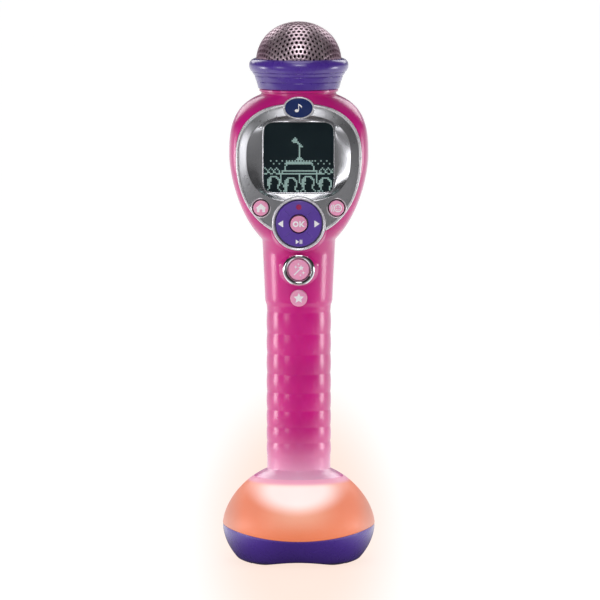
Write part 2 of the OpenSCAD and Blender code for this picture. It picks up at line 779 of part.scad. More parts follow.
// A screw along -Y: head from y to y + 1.8, shank down to y_tip, cross slot in the head.
module screw(x, z, y, y_tip, head_r) {
    difference() {
        union() {
            y_rod(x, z, head_r, y, y + 1.6);
            y_rod(x, z, screw_r, y_tip, y);
        }
        y_box(x - head_r * 0.7, x + head_r * 0.7, y + 0.8, y + 3, z - 0.3, z + 0.3);
        y_box(x - 0.3, x + 0.3, y + 0.8, y + 3, z - head_r * 0.7, z + head_r * 0.7);
    }
}

module door_screw() {
    color(STEEL) screw(0, door_screw_z, 18.4, 9.6, 2.8);
}

module casing_screws() {
    color(STEEL) for (s = CASING_SCREWS) screw(s[0], s[1], 5, -9, 2.7);
}

// ---------- base ----------

// The ring that holds the handle's spigot under the dome, and its screws.
module foot_clamp() {
    color(BLACK) difference() {
        translate([0, 0, 42.6]) cylinder(h = 2.9, r = 22.4);
        translate([0, 0, 40]) cylinder(h = 10, r = 11.5);
        for (a = CLAMP_ANGLES) rotate(a) translate([clamp_ring_r, 0, 40]) cylinder(h = 10, r = 1.2);
    }
}

module clamp_screws() {
    color(STEEL) for (a = CLAMP_ANGLES) rotate(a) translate([clamp_ring_r, 0, 0]) {
        translate([0, 0, 41.1]) cylinder(h = 1.4, r = 1.9);
        translate([0, 0, 42.4]) cylinder(h = 5, r = 1.1);
    }
}

// Everything under the bowed seam between dome and cover.
module below_seam(lower) {
    translate([-60, 0, seam_z - seam_bow_r]) rotate([0, 90, 0])
        cylinder(h = 120, r = seam_bow_r - lower, $fn = 96);
}

module dome_profile() {
    z_top = foot_ring_z - 0.05;
    polygon(concat(
        [for (z = [12 : 1.6 : base_mid_z]) [base_surface_r(z), z]],
        [for (z = [base_mid_z + 0.6 : 1.7 : z_top]) [base_surface_r(z), z]],
        [[base_surface_r(z_top), z_top], [18.2, z_top], [18.2, 45.7]],
        [for (z = [45.6 : -1.9 : base_mid_z]) [base_surface_r(z + 1.4) - base_wall, z]],
        [for (z = [base_mid_z - 1 : -1.6 : 12]) [base_surface_r(z) - base_wall, z]]
    ));
}

module base_dome() {
    color([0.97, 0.6, 0.42, 0.85]) difference() {
        union() {
            rotate_extrude() dome_profile();
            // posts that the cover screws into
            for (p = BASE_POSTS) translate([p[0], p[1], led_z + 3]) cylinder(h = 18, r = 3);
            // bosses for the clamp screws
            for (a = CLAMP_ANGLES) rotate(a) translate([clamp_ring_r, 0, 45.6]) cylinder(h = 3.9, r = 1.9);
        }
        for (p = BASE_POSTS) translate([p[0], p[1], led_z]) cylinder(h = 12, r = screw_hole_r);
        for (a = CLAMP_ANGLES) rotate(a) translate([clamp_ring_r, 0, 40]) cylinder(h = 7.6, r = 1.15);
        below_seam(0);
    }
}

arch_r = (arch_half * arch_half + arch_z * arch_z) / (2 * arch_z);

// The cylinder under the base that leaves the arch, made larger by grow.
module arch(grow) {
    translate([0, 60, arch_z - arch_r]) rotate([90, 0, 0]) cylinder(h = 120, r = arch_r + grow, $fn = 96);
}

module cover_outer() {
    rotate_extrude() polygon(concat(
        [[0, foot_drop]],
        [for (z = [foot_drop : 0.6 : 3]) [base_surface_r(z), z]],
        [for (z = [4 : 1.6 : base_mid_z]) [base_surface_r(z), z]],
        [[base_surface_r(base_mid_z), base_mid_z], [0, base_mid_z]]
    ));
}

module cover_inner() {
    rotate_extrude() polygon(concat(
        [[0, foot_drop + base_wall]],
        [for (z = [foot_drop + base_wall : 1.6 : base_mid_z]) [base_surface_r(z - 0.8) - base_wall, z]],
        [[base_r - base_wall, base_mid_z + cut], [0, base_mid_z + cut]]
    ));
}

module base_cover() {
    color(PURPLE) difference() {
        union() {
            difference() {
                intersection() {
                    cover_outer();
                    below_seam(0.05);
                }
                difference() {
                    cover_inner();
                    arch(base_wall);
                }
            }
            // tubes round the four screws
            for (p = BASE_POSTS) translate([p[0], p[1], 3]) cylinder(h = led_z - 2.4 - 3, r = 3.6);
        }
        arch(0);
        for (p = BASE_POSTS) {
            translate([p[0], p[1], -cut]) cylinder(h = 40, r = 1.6);
            translate([p[0], p[1], -cut]) cylinder(h = 11, r = 3);
        }
        for (f = [-23.2, 23.2], g = [-8.5, 8.5]) translate([f, g, -cut]) cylinder(h = cut + 1.6, r = 3.3);
    }
}

module rubber_feet() {
    color(BLACK) for (f = [-23.2, 23.2], g = [-8.5, 8.5]) translate([f, g, 0]) cylinder(h = 1.6, r = 3.2);
}

module base_screws() {
    color(STEEL) for (p = BASE_POSTS) translate([p[0], p[1], 0]) {
        difference() {
            translate([0, 0, 8.4]) cylinder(h = 1.6, r = 2.7);
            translate([-0.3, -2, 7]) cube([0.6, 4, 2.2]);
            translate([-2, -0.3, 7]) cube([4, 0.6, 2.2]);
        }
        translate([0, 0, 9.8]) cylinder(h = 22, r = screw_r);
    }
}

module led_board() {
    color(BOARD) translate([0, 0, led_z - 2.4]) difference() {
        cylinder(h = 1.6, r = 33);
        translate([0, 0, -cut]) cylinder(h = 4, r = 12);
        for (p = BASE_POSTS) translate([p[0], p[1], -cut]) cylinder(h = 4, r = 1.7);
    }
}

module leds() {
    color([1, 0.75, 0.5]) for (a = LED_ANGLES) rotate(a) translate([led_ring_r, 0, led_z - 0.8]) {
        cylinder(h = 1, r = 2.9);
        cylinder(h = 5.5, r = 2.5);
        translate([0, 0, 5.5]) sphere(r = 2.5);
    }
}

module reflector() {
    color(WHITE) translate([0, 0, led_z - 0.1]) difference() {
        cylinder(h = 0.8, r = 36);
        translate([0, 0, -cut]) cylinder(h = 4, r = 12);
        for (p = BASE_POSTS) translate([p[0], p[1], -cut]) cylinder(h = 4, r = 1.7);
        for (a = LED_ANGLES) rotate(a) translate([led_ring_r, 0, -cut]) cylinder(h = 4, r = 3.1);
    }
}

front_casing();
rear_casing();
collar();
grille();
grille_foam();
mic_holder();
mic_capsule();
bezel();
badge_rim();
badge();
screen_window();
lcd_panel();
lcd_frame();
backlight();
dpad_ring();
dpad();
dpad_pivot();
ok_button();
home_button();
voice_button();
wand_ring();
wand_button();
star_button();
keypad_mat();
handle_keypad_mat();
main_board();
handle_board();
board_screws();
speaker();
speaker_gasket();
power_switch();
power_slider();
battery_tray();
batteries();
battery_springs();
battery_plates();
battery_door();
door_screw();
casing_screws();
foot_clamp();
clamp_screws();
base_dome();
base_cover();
led_board();
leds();
reflector();
base_screws();
rubber_feet();
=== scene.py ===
"""Looks of a toy stage microphone on a lit base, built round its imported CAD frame.

Metres, +Z up, the screen faces -Y. MM turns the millimetre values of the design into metres.
"""
import json
import math

import bmesh
import bpy
import numpy as np
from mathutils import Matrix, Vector
from mathutils.geometry import tessellate_polygon


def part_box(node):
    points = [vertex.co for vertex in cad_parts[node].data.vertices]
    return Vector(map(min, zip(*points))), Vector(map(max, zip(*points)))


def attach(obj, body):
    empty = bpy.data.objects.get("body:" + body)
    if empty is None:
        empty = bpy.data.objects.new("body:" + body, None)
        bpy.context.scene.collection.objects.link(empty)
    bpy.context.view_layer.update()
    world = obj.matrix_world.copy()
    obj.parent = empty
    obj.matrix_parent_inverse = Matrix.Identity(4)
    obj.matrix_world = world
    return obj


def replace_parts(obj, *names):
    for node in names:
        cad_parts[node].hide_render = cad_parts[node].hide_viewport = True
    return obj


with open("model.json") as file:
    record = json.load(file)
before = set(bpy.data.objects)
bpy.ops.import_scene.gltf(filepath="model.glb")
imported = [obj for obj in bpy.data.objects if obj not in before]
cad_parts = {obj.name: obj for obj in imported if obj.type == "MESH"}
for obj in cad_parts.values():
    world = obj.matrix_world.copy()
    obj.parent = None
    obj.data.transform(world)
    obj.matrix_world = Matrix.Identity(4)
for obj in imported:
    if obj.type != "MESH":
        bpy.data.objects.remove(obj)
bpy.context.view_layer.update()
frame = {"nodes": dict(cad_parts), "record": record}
NODES = frame["nodes"]
SLOT_OF = {s["node"]: s["material_slot"] for s in frame["record"]["subparts"]}
MM = 0.001

# ---------------------------------------------------------------- places, from the frame


def centre(node):
    low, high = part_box(node)
    return (low + high) / 2


def front(node):
    """How far in front of the axis a node reaches."""
    return -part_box(node)[0].y


DPAD_Z = centre("dpad").z
SIDE_X = centre("voice_button").x
SIDE_Z = centre("voice_button").z
WAND_Z = centre("wand_button").z
STAR_Z = centre("star_button").z
SCREEN_Z = centre("screen_window").z
SCREEN_FRONT = front("screen_window")
BEZEL_FRONT = front("bezel")
BADGE = centre("badge_rim")
BEZEL_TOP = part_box("bezel")[1].z
BEZEL_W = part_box("bezel")[1].x
GRILLE_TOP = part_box("grille")[1].z
NECK_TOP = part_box("front_casing")[1].z
HEAD_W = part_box("front_casing")[1].x
BADGE_W, BADGE_H = 8.8, 6.3  # half-axes of its oval, in mm
BASE_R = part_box("base_dome")[1].x
SEAM_Z = 22.0 * MM

# ---------------------------------------------------------------- colours (linear)

PINK = (0.64, 0.008, 0.235)
# painted glow: a paler pink for the casing's foot, where light from the base is painted in
PINK_PAINTED_GLOW = (0.72, 0.40, 0.52)
PURPLE = (0.085, 0.034, 0.33)
# painted light: a lighter purple for the direction pad, standing in for the light on its flat front
PAD_PURPLE_PAINTED_LIGHT = (0.125, 0.058, 0.385)
PALE_PINK = (0.94, 0.38, 0.60)

# ---------------------------------------------------------------- shader helpers


class Nodes:
    """Short calls for building one material's node tree."""

    def __init__(self, name):
        self.name = name
        self.material = bpy.data.materials.new(name)
        self.material.use_nodes = True
        self.tree = self.material.node_tree
        self.shader = self.tree.nodes["Principled BSDF"]
        self.coords = self.tree.nodes.new("ShaderNodeTexCoord").outputs["Object"]

    def put(self, socket, value):
        if hasattr(value, "links"):
            self.tree.links.new(value, socket)
        elif socket.type == "RGBA" and len(value) == 3:
            socket.default_value = (*value, 1.0)
        else:
            socket.default_value = value

    def new(self, kind, **inputs):
        node = self.tree.nodes.new(kind)
        for key, value in inputs.items():
            self.put(node.inputs[key.replace("_", " ")], value)
        return node

    def set(self, **inputs):
        for key, value in inputs.items():
            self.put(self.shader.inputs[key.replace("_", " ")], value)
        return self

    def noise(self, scale, detail=3.0):
        return self.new("ShaderNodeTexNoise", Vector=self.coords, Scale=scale, Detail=detail).outputs["Fac"]

    def cells(self, scale):
        """Distance to the middle of the nearest of many small cells."""
        return self.new("ShaderNodeTexVoronoi", Vector=self.coords, Scale=scale).outputs["Distance"]

    def span(self, value, low, high, to_low=0, to_high=1, kind="LINEAR"):
        """value, from the range low..high to the range to_low..to_high."""
        node = self.new("ShaderNodeMapRange", From_Min=low, From_Max=high, To_Min=to_low, To_Max=to_high)
        node.interpolation_type = kind
        self.put(node.inputs["Value"], value)
        return node.outputs["Result"]

    def ramp(self, value, low, high, to_low=0, to_high=1):
        """A span that starts and ends softly."""
        return self.span(value, low, high, to_low, to_high, "SMOOTHSTEP")

    def varied(self, low, high, scale, detail=3.0):
        """A number that wanders between low and high, in patches of the noise's scale."""
        return self.span(self.noise(scale, detail), 0.3, 0.7, low, high)

    def math(self, operation, a, b=0.0):
        node = self.tree.nodes.new("ShaderNodeMath")
        node.operation = operation
        self.put(node.inputs[0], a)
        self.put(node.inputs[1], b)
        return node.outputs["Value"]

    def times(self, a, b):
        return self.math("MULTIPLY", a, b)

    def length(self, a, b):
        return self.math("SQRT", self.math("ADD", self.times(a, a), self.times(b, b)))

    def mix(self, factor, a, b):
        node = self.tree.nodes.new("ShaderNodeMix")
        node.data_type = "RGBA"
        for key, value in (("Factor", factor), ("A", a), ("B", b)):
            self.put(node.inputs[key], value)
        return node.outputs["Result"]

    def axis(self, letter):
        return self.new("ShaderNodeSeparateXYZ", Vector=self.coords).outputs[letter]

    def across(self):
        """Distance from the plane x = 0."""
        return self.math("ABSOLUTE", self.axis("X"))

    def bump(self, height, strength, distance=0.0001):
        node = self.new("ShaderNodeBump", Strength=strength, Distance=distance, Height=height)
        self.put(self.shader.inputs["Normal"], node.outputs["Normal"])
        return self


# ---------------------------------------------------------------- materials


def moulded(name, colour, roughness, coat, coat_roughness=0.12, bump=0.03):
    """Glossy moulded plastic: slight mottling of the colour, uneven gloss and a faint orange-peel."""
    n = Nodes(name)
    darker = tuple(c * 0.88 for c in colour)
    n.set(Base_Color=n.mix(n.ramp(n.noise(38, 2), 0.35, 0.65), darker, colour))
    n.set(Roughness=n.varied(roughness - 0.05, roughness + 0.06, 160, 4))
    n.set(Coat_Weight=coat, Coat_Roughness=coat_roughness)
    return n.bump(n.noise(900, 2), bump, 0.0002)


def pink_plastic():
    """The casing's pink, with a painted glow: emission and a paler colour low in the foot, strongest in the
    middle, stand in for light from the base shining into it.
    """
    n = moulded("pink_shell", PINK, 0.36, 0.8, 0.2)
    z = n.axis("Z")
    # painted glow: light from the base, painted low in the foot as a paler colour and emission, strongest
    # in the middle
    glow = n.math("POWER", n.span(z, 0.085, 0.049), 2.2)
    middle = n.ramp(n.across(), 0.0265, 0.019)
    body = n.shader.inputs["Base Color"].links[0].from_socket
    n.set(Base_Color=n.mix(n.times(n.times(glow, middle), 0.75), body, PINK_PAINTED_GLOW))
    pale = n.mix(n.span(z, 0.085, 0.05), (0.62, 0.03, 0.28), (0.60, 0.46, 0.60))
    n.set(Emission_Color=n.mix(middle, (0.62, 0.05, 0.36), pale), Emission_Strength=n.times(glow, 0.32))
    n.set(Sheen_Weight=0.15, Sheen_Roughness=0.4, Sheen_Tint=(1.0, 0.35, 0.85))
    return n.set(Subsurface_Weight=0.08, Subsurface_Scale=0.002)


def cap_plastic():
    n = moulded("pale_pink_cap", PALE_PINK, 0.32, 0.2)
    return n.set(Subsurface_Weight=0.15, Subsurface_Scale=0.001)


def flake_silver(name, light, dark, flake_scale, roughness):
    """Silver paint with fine metal flake. roughness is (lowest, highest, scale of its patches)."""
    n = Nodes(name)
    n.set(Base_Color=n.mix(n.span(n.cells(flake_scale), 0.1, 0.6), light, dark))
    n.set(Metallic=0.95, Roughness=n.varied(*roughness))
    return n.bump(n.noise(700, 2), 0.01)


def bright_silver():
    """Pale satin metal of the thin rims and of the rings round the round caps."""
    n = Nodes("silver_rim")
    n.set(Base_Color=n.mix(n.noise(600), (0.88, 0.86, 0.89), (0.78, 0.76, 0.80)), Metallic=0.45)
    n.set(Roughness=n.varied(0.24, 0.32, 300), Coat_Weight=0.3, Coat_Roughness=0.1)
    return n.bump(n.noise(900, 2), 0.03)


def chrome():
    n = Nodes("chrome_plating")
    smear = n.noise(120)
    n.set(Base_Color=n.mix(smear, (0.86, 0.86, 0.89), (0.78, 0.78, 0.82)), Metallic=1.0)
    n.set(Roughness=n.span(smear, 0.3, 0.7, 0.08, 0.15))
    return n.bump(n.noise(700, 2), 0.02)


def grille_metal():
    """Perforated sheet with a rosy satin plating, with painted shade darkening it towards the sides."""
    n = Nodes("grille_metal")
    plating = n.mix(n.span(n.noise(500, 4), 0.35, 0.65), (0.84, 0.66, 0.73), (0.68, 0.51, 0.58))
    # painted shade: the plating darkens towards the sides, by distance from x = 0
    n.set(Base_Color=n.mix(n.ramp(n.across(), 0.012, 0.021), plating, (0.30, 0.18, 0.24)))
    n.set(Metallic=0.9, Roughness=n.varied(0.30, 0.40, 260))
    return n.bump(n.noise(1500), 0.08)


def foam():
    n = Nodes("foam")
    cells = n.cells(1600.0)
    n.set(Base_Color=n.mix(n.span(cells, 0.1, 0.6), (0.008, 0.004, 0.006), (0.03, 0.016, 0.022)))
    n.set(Roughness=0.95, Sheen_Weight=0.1)
    return n.bump(cells, 0.6, 0.0004)


def matte(name, colour, roughness, grain):
    """Unpainted plastic or rubber with a fine grain."""
    n = Nodes(name)
    other = tuple(c * 0.86 for c in colour)
    n.set(Base_Color=n.mix(n.noise(grain / 8), colour, other))
    n.set(Roughness=n.varied(roughness - 0.06, roughness + 0.06, grain / 3))
    return n.bump(n.noise(grain, 2), 0.15, 0.0002)


def printed(name, colour):
    """Ink: matte, with slightly uneven cover."""
    n = Nodes(name)
    faded = tuple(min(1.0, c * 1.08 + 0.01) for c in colour)
    n.set(Base_Color=n.mix(n.span(n.noise(1400, 2), 0.4, 0.6), colour, faded), Roughness=0.45)
    return n.bump(n.noise(2500, 2), 0.05)


def steel():
    """Drawn steel, streaked along Y."""
    n = Nodes("steel")
    drawn = n.new("ShaderNodeMapping", Vector=n.coords, Scale=(900.0, 60.0, 900.0)).outputs["Vector"]
    streak = n.new("ShaderNodeTexNoise", Vector=drawn, Scale=1.0, Detail=3.0).outputs["Fac"]
    n.set(Base_Color=n.mix(streak, (0.62, 0.62, 0.63), (0.46, 0.46, 0.48)), Metallic=1.0)
    n.set(Roughness=n.span(streak, 0.3, 0.7, 0.22, 0.38))
    return n.bump(streak, 0.06)


def board():
    """Solder resist over copper tracks."""
    n = Nodes("circuit_board")
    tracks = n.new("ShaderNodeTexBrick", Vector=n.coords, Scale=420.0, Color1=(0.012, 0.16, 0.05),
                   Color2=(0.016, 0.21, 0.07), Mortar=(0.03, 0.30, 0.11))
    n.set(Base_Color=tracks.outputs["Color"], Roughness=n.varied(0.3, 0.42, 600, 2))
    return n.bump(tracks.outputs["Fac"], 0.1)


def clear_window():
    n = Nodes("clear_window")
    n.set(Base_Color=(0.9, 0.93, 0.93), Roughness=n.varied(0.0, 0.006, 220, 2))
    return n.set(Transmission_Weight=1.0, IOR=1.3)


def lcd_glass():
    n = Nodes("lcd_glass")
    n.set(Base_Color=n.mix(n.noise(60, 2), (0.006, 0.012, 0.014), (0.010, 0.017, 0.020)), Roughness=0.5)
    n.set(Emission_Color=(0.010, 0.016, 0.020), Emission_Strength=0.5, Specular_IOR_Level=0.05)
    return n.bump(n.cells(2400.0), 0.02)


def lcd_ink():
    """Lit picture elements."""
    n = Nodes("lcd_ink")
    n.set(Base_Color=n.mix(n.noise(900, 2), (0.17, 0.25, 0.24), (0.20, 0.29, 0.27)), Roughness=0.4)
    return n.set(Emission_Color=(0.34, 0.46, 0.43), Emission_Strength=0.75, Specular_IOR_Level=0.1)


def glow_dome():
    """Frosted dome lit from inside, its glow painted as emission: orange, a painted white patch over the
    lamps, painted duller sides and pink next to the foot.
    """
    n = moulded("glow_dome", (0.26, 0.10, 0.07), 0.5, 0.25, 0.35)
    z, across = n.axis("Z"), n.across()
    # the painted white patch of glow: an ellipse, faded towards the foot
    wide = n.math("DIVIDE", n.math("ADD", n.axis("X"), 0.001), 0.0250)
    tall = n.math("DIVIDE", n.math("SUBTRACT", z, 0.0440), 0.0115)
    patch = n.times(n.ramp(n.length(wide, tall), 1.25, 0.55), n.ramp(z, 0.0505, 0.0450, 0.2, 1))
    # the painted orange glow: redder low down, painted duller at the sides, paler under the patch
    painted_warm_glow = n.mix(n.ramp(z, 0.018, 0.036), (0.90, 0.22, 0.09), (0.86, 0.235, 0.125))
    painted_warm_glow = n.mix(n.ramp(across, 0.030, 0.043, 0, 0.8), painted_warm_glow, (0.60, 0.34, 0.29))
    painted_paler_glow = n.times(n.ramp(across, 0.026, 0.004, 0, 0.55), n.ramp(z, 0.018, 0.032))
    painted_warm_glow = n.mix(painted_paler_glow, painted_warm_glow, (0.98, 0.56, 0.40))
    lit = n.mix(patch, painted_warm_glow, (1.0, 0.84, 0.83))
    # painted glow: it turns pink next to the casing's foot
    n.set(Emission_Color=n.mix(n.ramp(z, 0.0462, 0.0482), lit, (0.82, 0.36, 0.56)))
    n.set(Emission_Strength=n.span(patch, 0, 1, 0.74, 0.94))
    return n.set(Subsurface_Weight=0.2, Subsurface_Scale=0.004)


def led_lens():
    n = Nodes("led_lens")
    n.set(Base_Color=n.mix(n.noise(400, 2), (1.0, 0.62, 0.36), (1.0, 0.55, 0.3)), Roughness=0.25)
    return n.set(Emission_Color=(1.0, 0.55, 0.3), Emission_Strength=3.0)


def cell_sleeve():
    """Dark shrink sleeve of a plain cell."""
    n = Nodes("cell_wrap")
    n.set(Base_Color=n.mix(n.noise(300, 2), (0.05, 0.05, 0.06), (0.08, 0.08, 0.09)), Metallic=0.5)
    return n.set(Roughness=n.varied(0.25, 0.35, 200, 2))


KINDS = (
    pink_plastic(),
    moulded("purple_shell", PURPLE, 0.28, 0.7, 0.18, 0.015),
    cap_plastic(),
    flake_silver("silver_paint", (0.80, 0.80, 0.83), (0.68, 0.68, 0.72), 5200.0, (0.18, 0.25, 300)).set(
        Coat_Weight=0.25, Coat_Roughness=0.12),
    chrome(),
    grille_metal(),
    foam(),
    matte("black_rubber", (0.03, 0.03, 0.033), 0.75, 1500),
    matte("silicone", (0.78, 0.78, 0.76), 0.55, 900),
    steel(),
    moulded("badge_blue", (0.012, 0.028, 0.13), 0.18, 0.6),
    clear_window(),
    lcd_glass(),
    matte("white_plastic", (0.82, 0.82, 0.82), 0.5, 1200),
    matte("black_plastic", (0.025, 0.025, 0.028), 0.45, 2200),
    board(),
    matte("speaker_frame", (0.06, 0.06, 0.065), 0.4, 1500),
    cell_sleeve(),
    glow_dome(),
    led_lens(),
)
BY_SLOT = {kind.name: kind.material for kind in KINDS}
# the pad's purple: a lit copy of the shell's purple, painted lighter for the light on its flat front
PAD = moulded("purple_pad_painted_light", PAD_PURPLE_PAINTED_LIGHT, 0.34, 0.35).material
# the bezel's flange, round the dish and the buttons
LAND = flake_silver(
    "silver_land", (0.78, 0.78, 0.81), (0.70, 0.70, 0.74), 4200.0, (0.27, 0.31, 420)).material
RIM = bright_silver().material
WHITE_INK = printed("white_ink", (0.88, 0.86, 0.88)).material
RED_INK = printed("red_ink", (0.33, 0.012, 0.085)).material
LCD_INK = lcd_ink().material

for node_name, node_object in NODES.items():
    node_object.data.materials.clear()
    node_object.data.materials.append(BY_SLOT[SLOT_OF[node_name]])

# ---------------------------------------------------------------- mesh helpers


def repaired(mesh, merge=True, dissolve=False):
    """The mesh with its normals outward, its double points merged and its faces without area dropped."""
    bm = bmesh.new()
    bm.from_mesh(mesh)
    if merge:
        bmesh.ops.remove_doubles(bm, verts=bm.verts, dist=1e-7)
    if dissolve:
        bmesh.ops.dissolve_degenerate(bm, dist=1e-8, edges=bm.edges)
    bmesh.ops.recalc_face_normals(bm, faces=bm.faces)
    bm.to_mesh(mesh)
    bm.free()
    return mesh


def linked(name, mesh):
    thing = bpy.data.objects.new(name, mesh)
    bpy.context.scene.collection.objects.link(thing)
    return thing


def mesh_of(name, verts, faces):
    mesh = bpy.data.meshes.new(name)
    mesh.from_pydata([tuple(v) for v in verts], [], faces)
    return mesh


def helper(name, verts, faces):
    """A solid to cut or add with."""
    return linked(name, repaired(mesh_of(name, verts, faces), merge=False))


def new_piece(name, verts, faces, slot, body="body", material=None, sharp=35.0, dissolve=False):
    """A smooth-shaded mesh object with sharp edges over the given angle, riding on a body."""
    mesh = repaired(mesh_of(name, verts, faces), dissolve=dissolve)
    mesh.materials.append(material or BY_SLOT[slot])
    return riding(linked(name, mesh), body, sharp)


def riding(piece, body, sharp):
    smooth(piece, sharp)
    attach(piece, body)
    return piece


def smooth(piece, sharp=35.0):
    piece.data.shade_smooth()
    piece.data.set_sharp_from_angle(angle=math.radians(sharp))


def skin(name, columns, slot, body="body", material=None, sharp=50.0):
    """A closed skin over closed columns of points in mm, the last column joined to the first."""
    m = len(columns[0])
    faces = []
    for k, column in enumerate(columns):
        q = (k + 1) % len(columns)
        for i in range(m):
            j = (i + 1) % m
            if column[i] == columns[q][i] and column[j] == columns[q][j]:
                continue  # on the axis
            faces.append([k * m + i, k * m + j, q * m + j, q * m + i])
    verts = [[c * MM for c in point] for column in columns for point in column]
    return new_piece(name, verts, faces, slot, body, material, sharp, dissolve=True)


def apply_modifiers(piece):
    """Fixes the modifiers' result as the mesh, keeping the piece's own materials."""
    graph = bpy.context.evaluated_depsgraph_get()
    mesh = bpy.data.meshes.new_from_object(piece.evaluated_get(graph))
    old = piece.data
    kinds = list(old.materials)
    numbers = [min(face.material_index, max(len(kinds) - 1, 0)) for face in mesh.polygons]
    mesh.materials.clear()
    for kind in kinds:
        mesh.materials.append(kind)
    mesh.polygons.foreach_set("material_index", numbers)
    piece.modifiers.clear()
    piece.data = mesh
    bpy.data.meshes.remove(old)


def boolean(piece, cutter, operation="DIFFERENCE", keep=False):
    modifier = piece.modifiers.new("cut", "BOOLEAN")
    modifier.operation = operation
    modifier.object = cutter
    modifier.solver = "MANIFOLD"
    apply_modifiers(piece)
    if not keep:
        bpy.data.objects.remove(cutter)


def cut_all(piece, cutters, sharp=35.0):
    for cutter in cutters:
        boolean(piece, cutter)
    smooth(piece, sharp)
    return piece


def prism(outline, start, end, name="prism", upright=False):
    """A closed prism of an (x, z) outline between two depths, or upright, of (x, y) between two heights."""
    m = len(outline)
    verts = [(u, v, w) if upright else (u, w, v) for w in (start, end) for u, v in outline]
    faces = [[i, (i + 1) % m, m + (i + 1) % m, m + i] for i in range(m)]
    faces += [list(range(m)), list(range(2 * m - 1, m - 1, -1))]
    return helper(name, verts, faces)


def box_prism(x0, x1, y0, y1, z0, z1, name="box"):
    return prism([(x0, z0), (x1, z0), (x1, z1), (x0, z1)], y0, y1, name)


def ellipse(x, z, a, b, steps=20):
    angles = [2 * math.pi * i / steps for i in range(steps)]
    return [(x + a * math.cos(t), z + b * math.sin(t)) for t in angles]


def disc(x, z, r, steps=64):
    return ellipse(x, z, r, r, steps)


def metres(outline):
    return [(x * MM, z * MM) for x, z in outline]


def mirrored(right):
    """The right half of an outline, then its mirror image back to the start."""
    return right + [(-x, z) for x, z in right[::-1]]


def rounded(points, radii, steps=4):
    """A closed outline whose corners are replaced by arcs. radii is one number or one per corner."""
    m = len(points)
    if not isinstance(radii, (list, tuple)):
        radii = [radii] * m
    result = []
    for i in range(m):
        a, b, c = (np.array(points[(i + k) % m], float) for k in (-1, 0, 1))
        u, v = a - b, c - b
        lu, lv = np.linalg.norm(u), np.linalg.norm(v)
        u, v = u / lu, v / lv
        half = math.acos(max(-1.0, min(1.0, float(u @ v)))) / 2
        if radii[i] <= 0 or half > 1.55 or half < 0.02:
            result.append(tuple(b))
            continue
        reach = min(radii[i] / math.tan(half), 0.49 * lu, 0.49 * lv)
        p, q = b + u * reach, b + v * reach
        for k in range(steps + 1):
            t = k / steps
            result.append(tuple((1 - t) ** 2 * p + 2 * t * (1 - t) * b + t * t * q))
    return result


def lathe(name, outline, slot, body="body", place=(0, 0, 0), facing="Z", segments=96, material=None,
          sharp=40.0, shape=None):
    """A closed (radius, height) outline in mm, turned about an axis. Facing "Y" points the height at -Y.

    shape(radius, angle) gives what is added to the height there.
    """
    x0, y0, z0 = (c / MM for c in place)
    columns = []
    for k in range(segments):
        a = 2 * math.pi * k / segments
        column = []
        for r, h in outline:
            if shape:
                h = h + shape(r, a)
            u, v = r * math.cos(a), r * math.sin(a)
            column.append((x0 + u, y0 + v, z0 + h) if facing == "Z" else (x0 + u, y0 - h, z0 + v))
        columns.append(column)
    return skin(name, columns, slot, body, material, sharp)


def join(first, *others):
    """Adds the meshes of other pieces to the first."""
    bm = bmesh.new()
    bm.from_mesh(first.data)
    for other in others:
        for material in other.data.materials:
            if material.name not in [m.name for m in first.data.materials]:
                first.data.materials.append(material)
        names = [m.name for m in first.data.materials]
        mapping = [names.index(m.name) for m in other.data.materials]
        before = len(bm.faces)
        bm.from_mesh(other.data)
        bm.faces.ensure_lookup_table()
        for face in bm.faces[before:]:
            face.material_index = mapping[face.material_index]
    bm.to_mesh(first.data)
    bm.free()
    for other in others:
        bpy.data.objects.remove(other)
    return first


# ---------------------------------------------------------------- the casing's shape


def ease(a, b, x):
    t = max(0.0, min(1.0, (x - a) / (b - a)))
    return t * t * (3 - 2 * t)


def soft_max(a, b, k):
    return (a + b + math.sqrt((a - b) ** 2 + k * k)) / 2


# The design's own values, in mm: heights end in MID, TOP, FOOT or Z, and radii in R.
HEAD_MID, HEAD_UP, HEAD_DOWN = 233.7, 36.2, 58.6  # the widest point, and its reach up and down
HEAD_FOOT, NECK_R, WALL = 185.6, 21.3, 2.0
HANDLE_TOP_R, SHOULDER_R = 20.8, 19.0
GRIP_R, GRIP_TOP, RIB_COUNT = 18.05, 146.8, 8
FOOT_Z = 49.6


def base_dome_r(z):
    return BASE_R / MM * math.sqrt(1 - abs((z - 22.4) / 35.2) ** 1.65)


def base_cover_r(z):
    return BASE_R / MM * math.sqrt(1 - abs((22.4 - z) / 34.3) ** 1.9) - 0.45 * max(0, 3 - z) ** 2


def groove_z(k):
    return 143.9 - 12.6 * k + 0.28 * k * k


def grip_radius(z):
    """Softly swelling ribs, plain below the lowest."""
    if z <= groove_z(RIB_COUNT):
        return GRIP_R
    k = max(i for i in range(-1, RIB_COUNT) if z <= groove_z(i))
    t = (z - groove_z(k + 1)) / (groove_z(k) - groove_z(k + 1))
    return GRIP_R + 0.34 * (1 - (2 * t - 1) ** 2)


def handle_r(z):
    return SHOULDER_R + (HANDLE_TOP_R - SHOULDER_R) * (z - GRIP_TOP) / (HEAD_FOOT - GRIP_TOP)


def round_radius(z):
    """Radius of the casing's round stretch."""
    if z < 56:
        return max(GRIP_R, soft_max(base_dome_r(min(z, 56)), GRIP_R, 0.35))
    if z < GRIP_TOP:
        return grip_radius(z)
    step = ease(GRIP_TOP, GRIP_TOP + 3.4, z)
    return grip_radius(GRIP_TOP) * (1 - step) + handle_r(z) * step


def head_lower(z):
    return HEAD_W / MM * math.sqrt(max(0.0, 1 - min(1.0, (HEAD_MID - z) / HEAD_DOWN) ** 1.7))


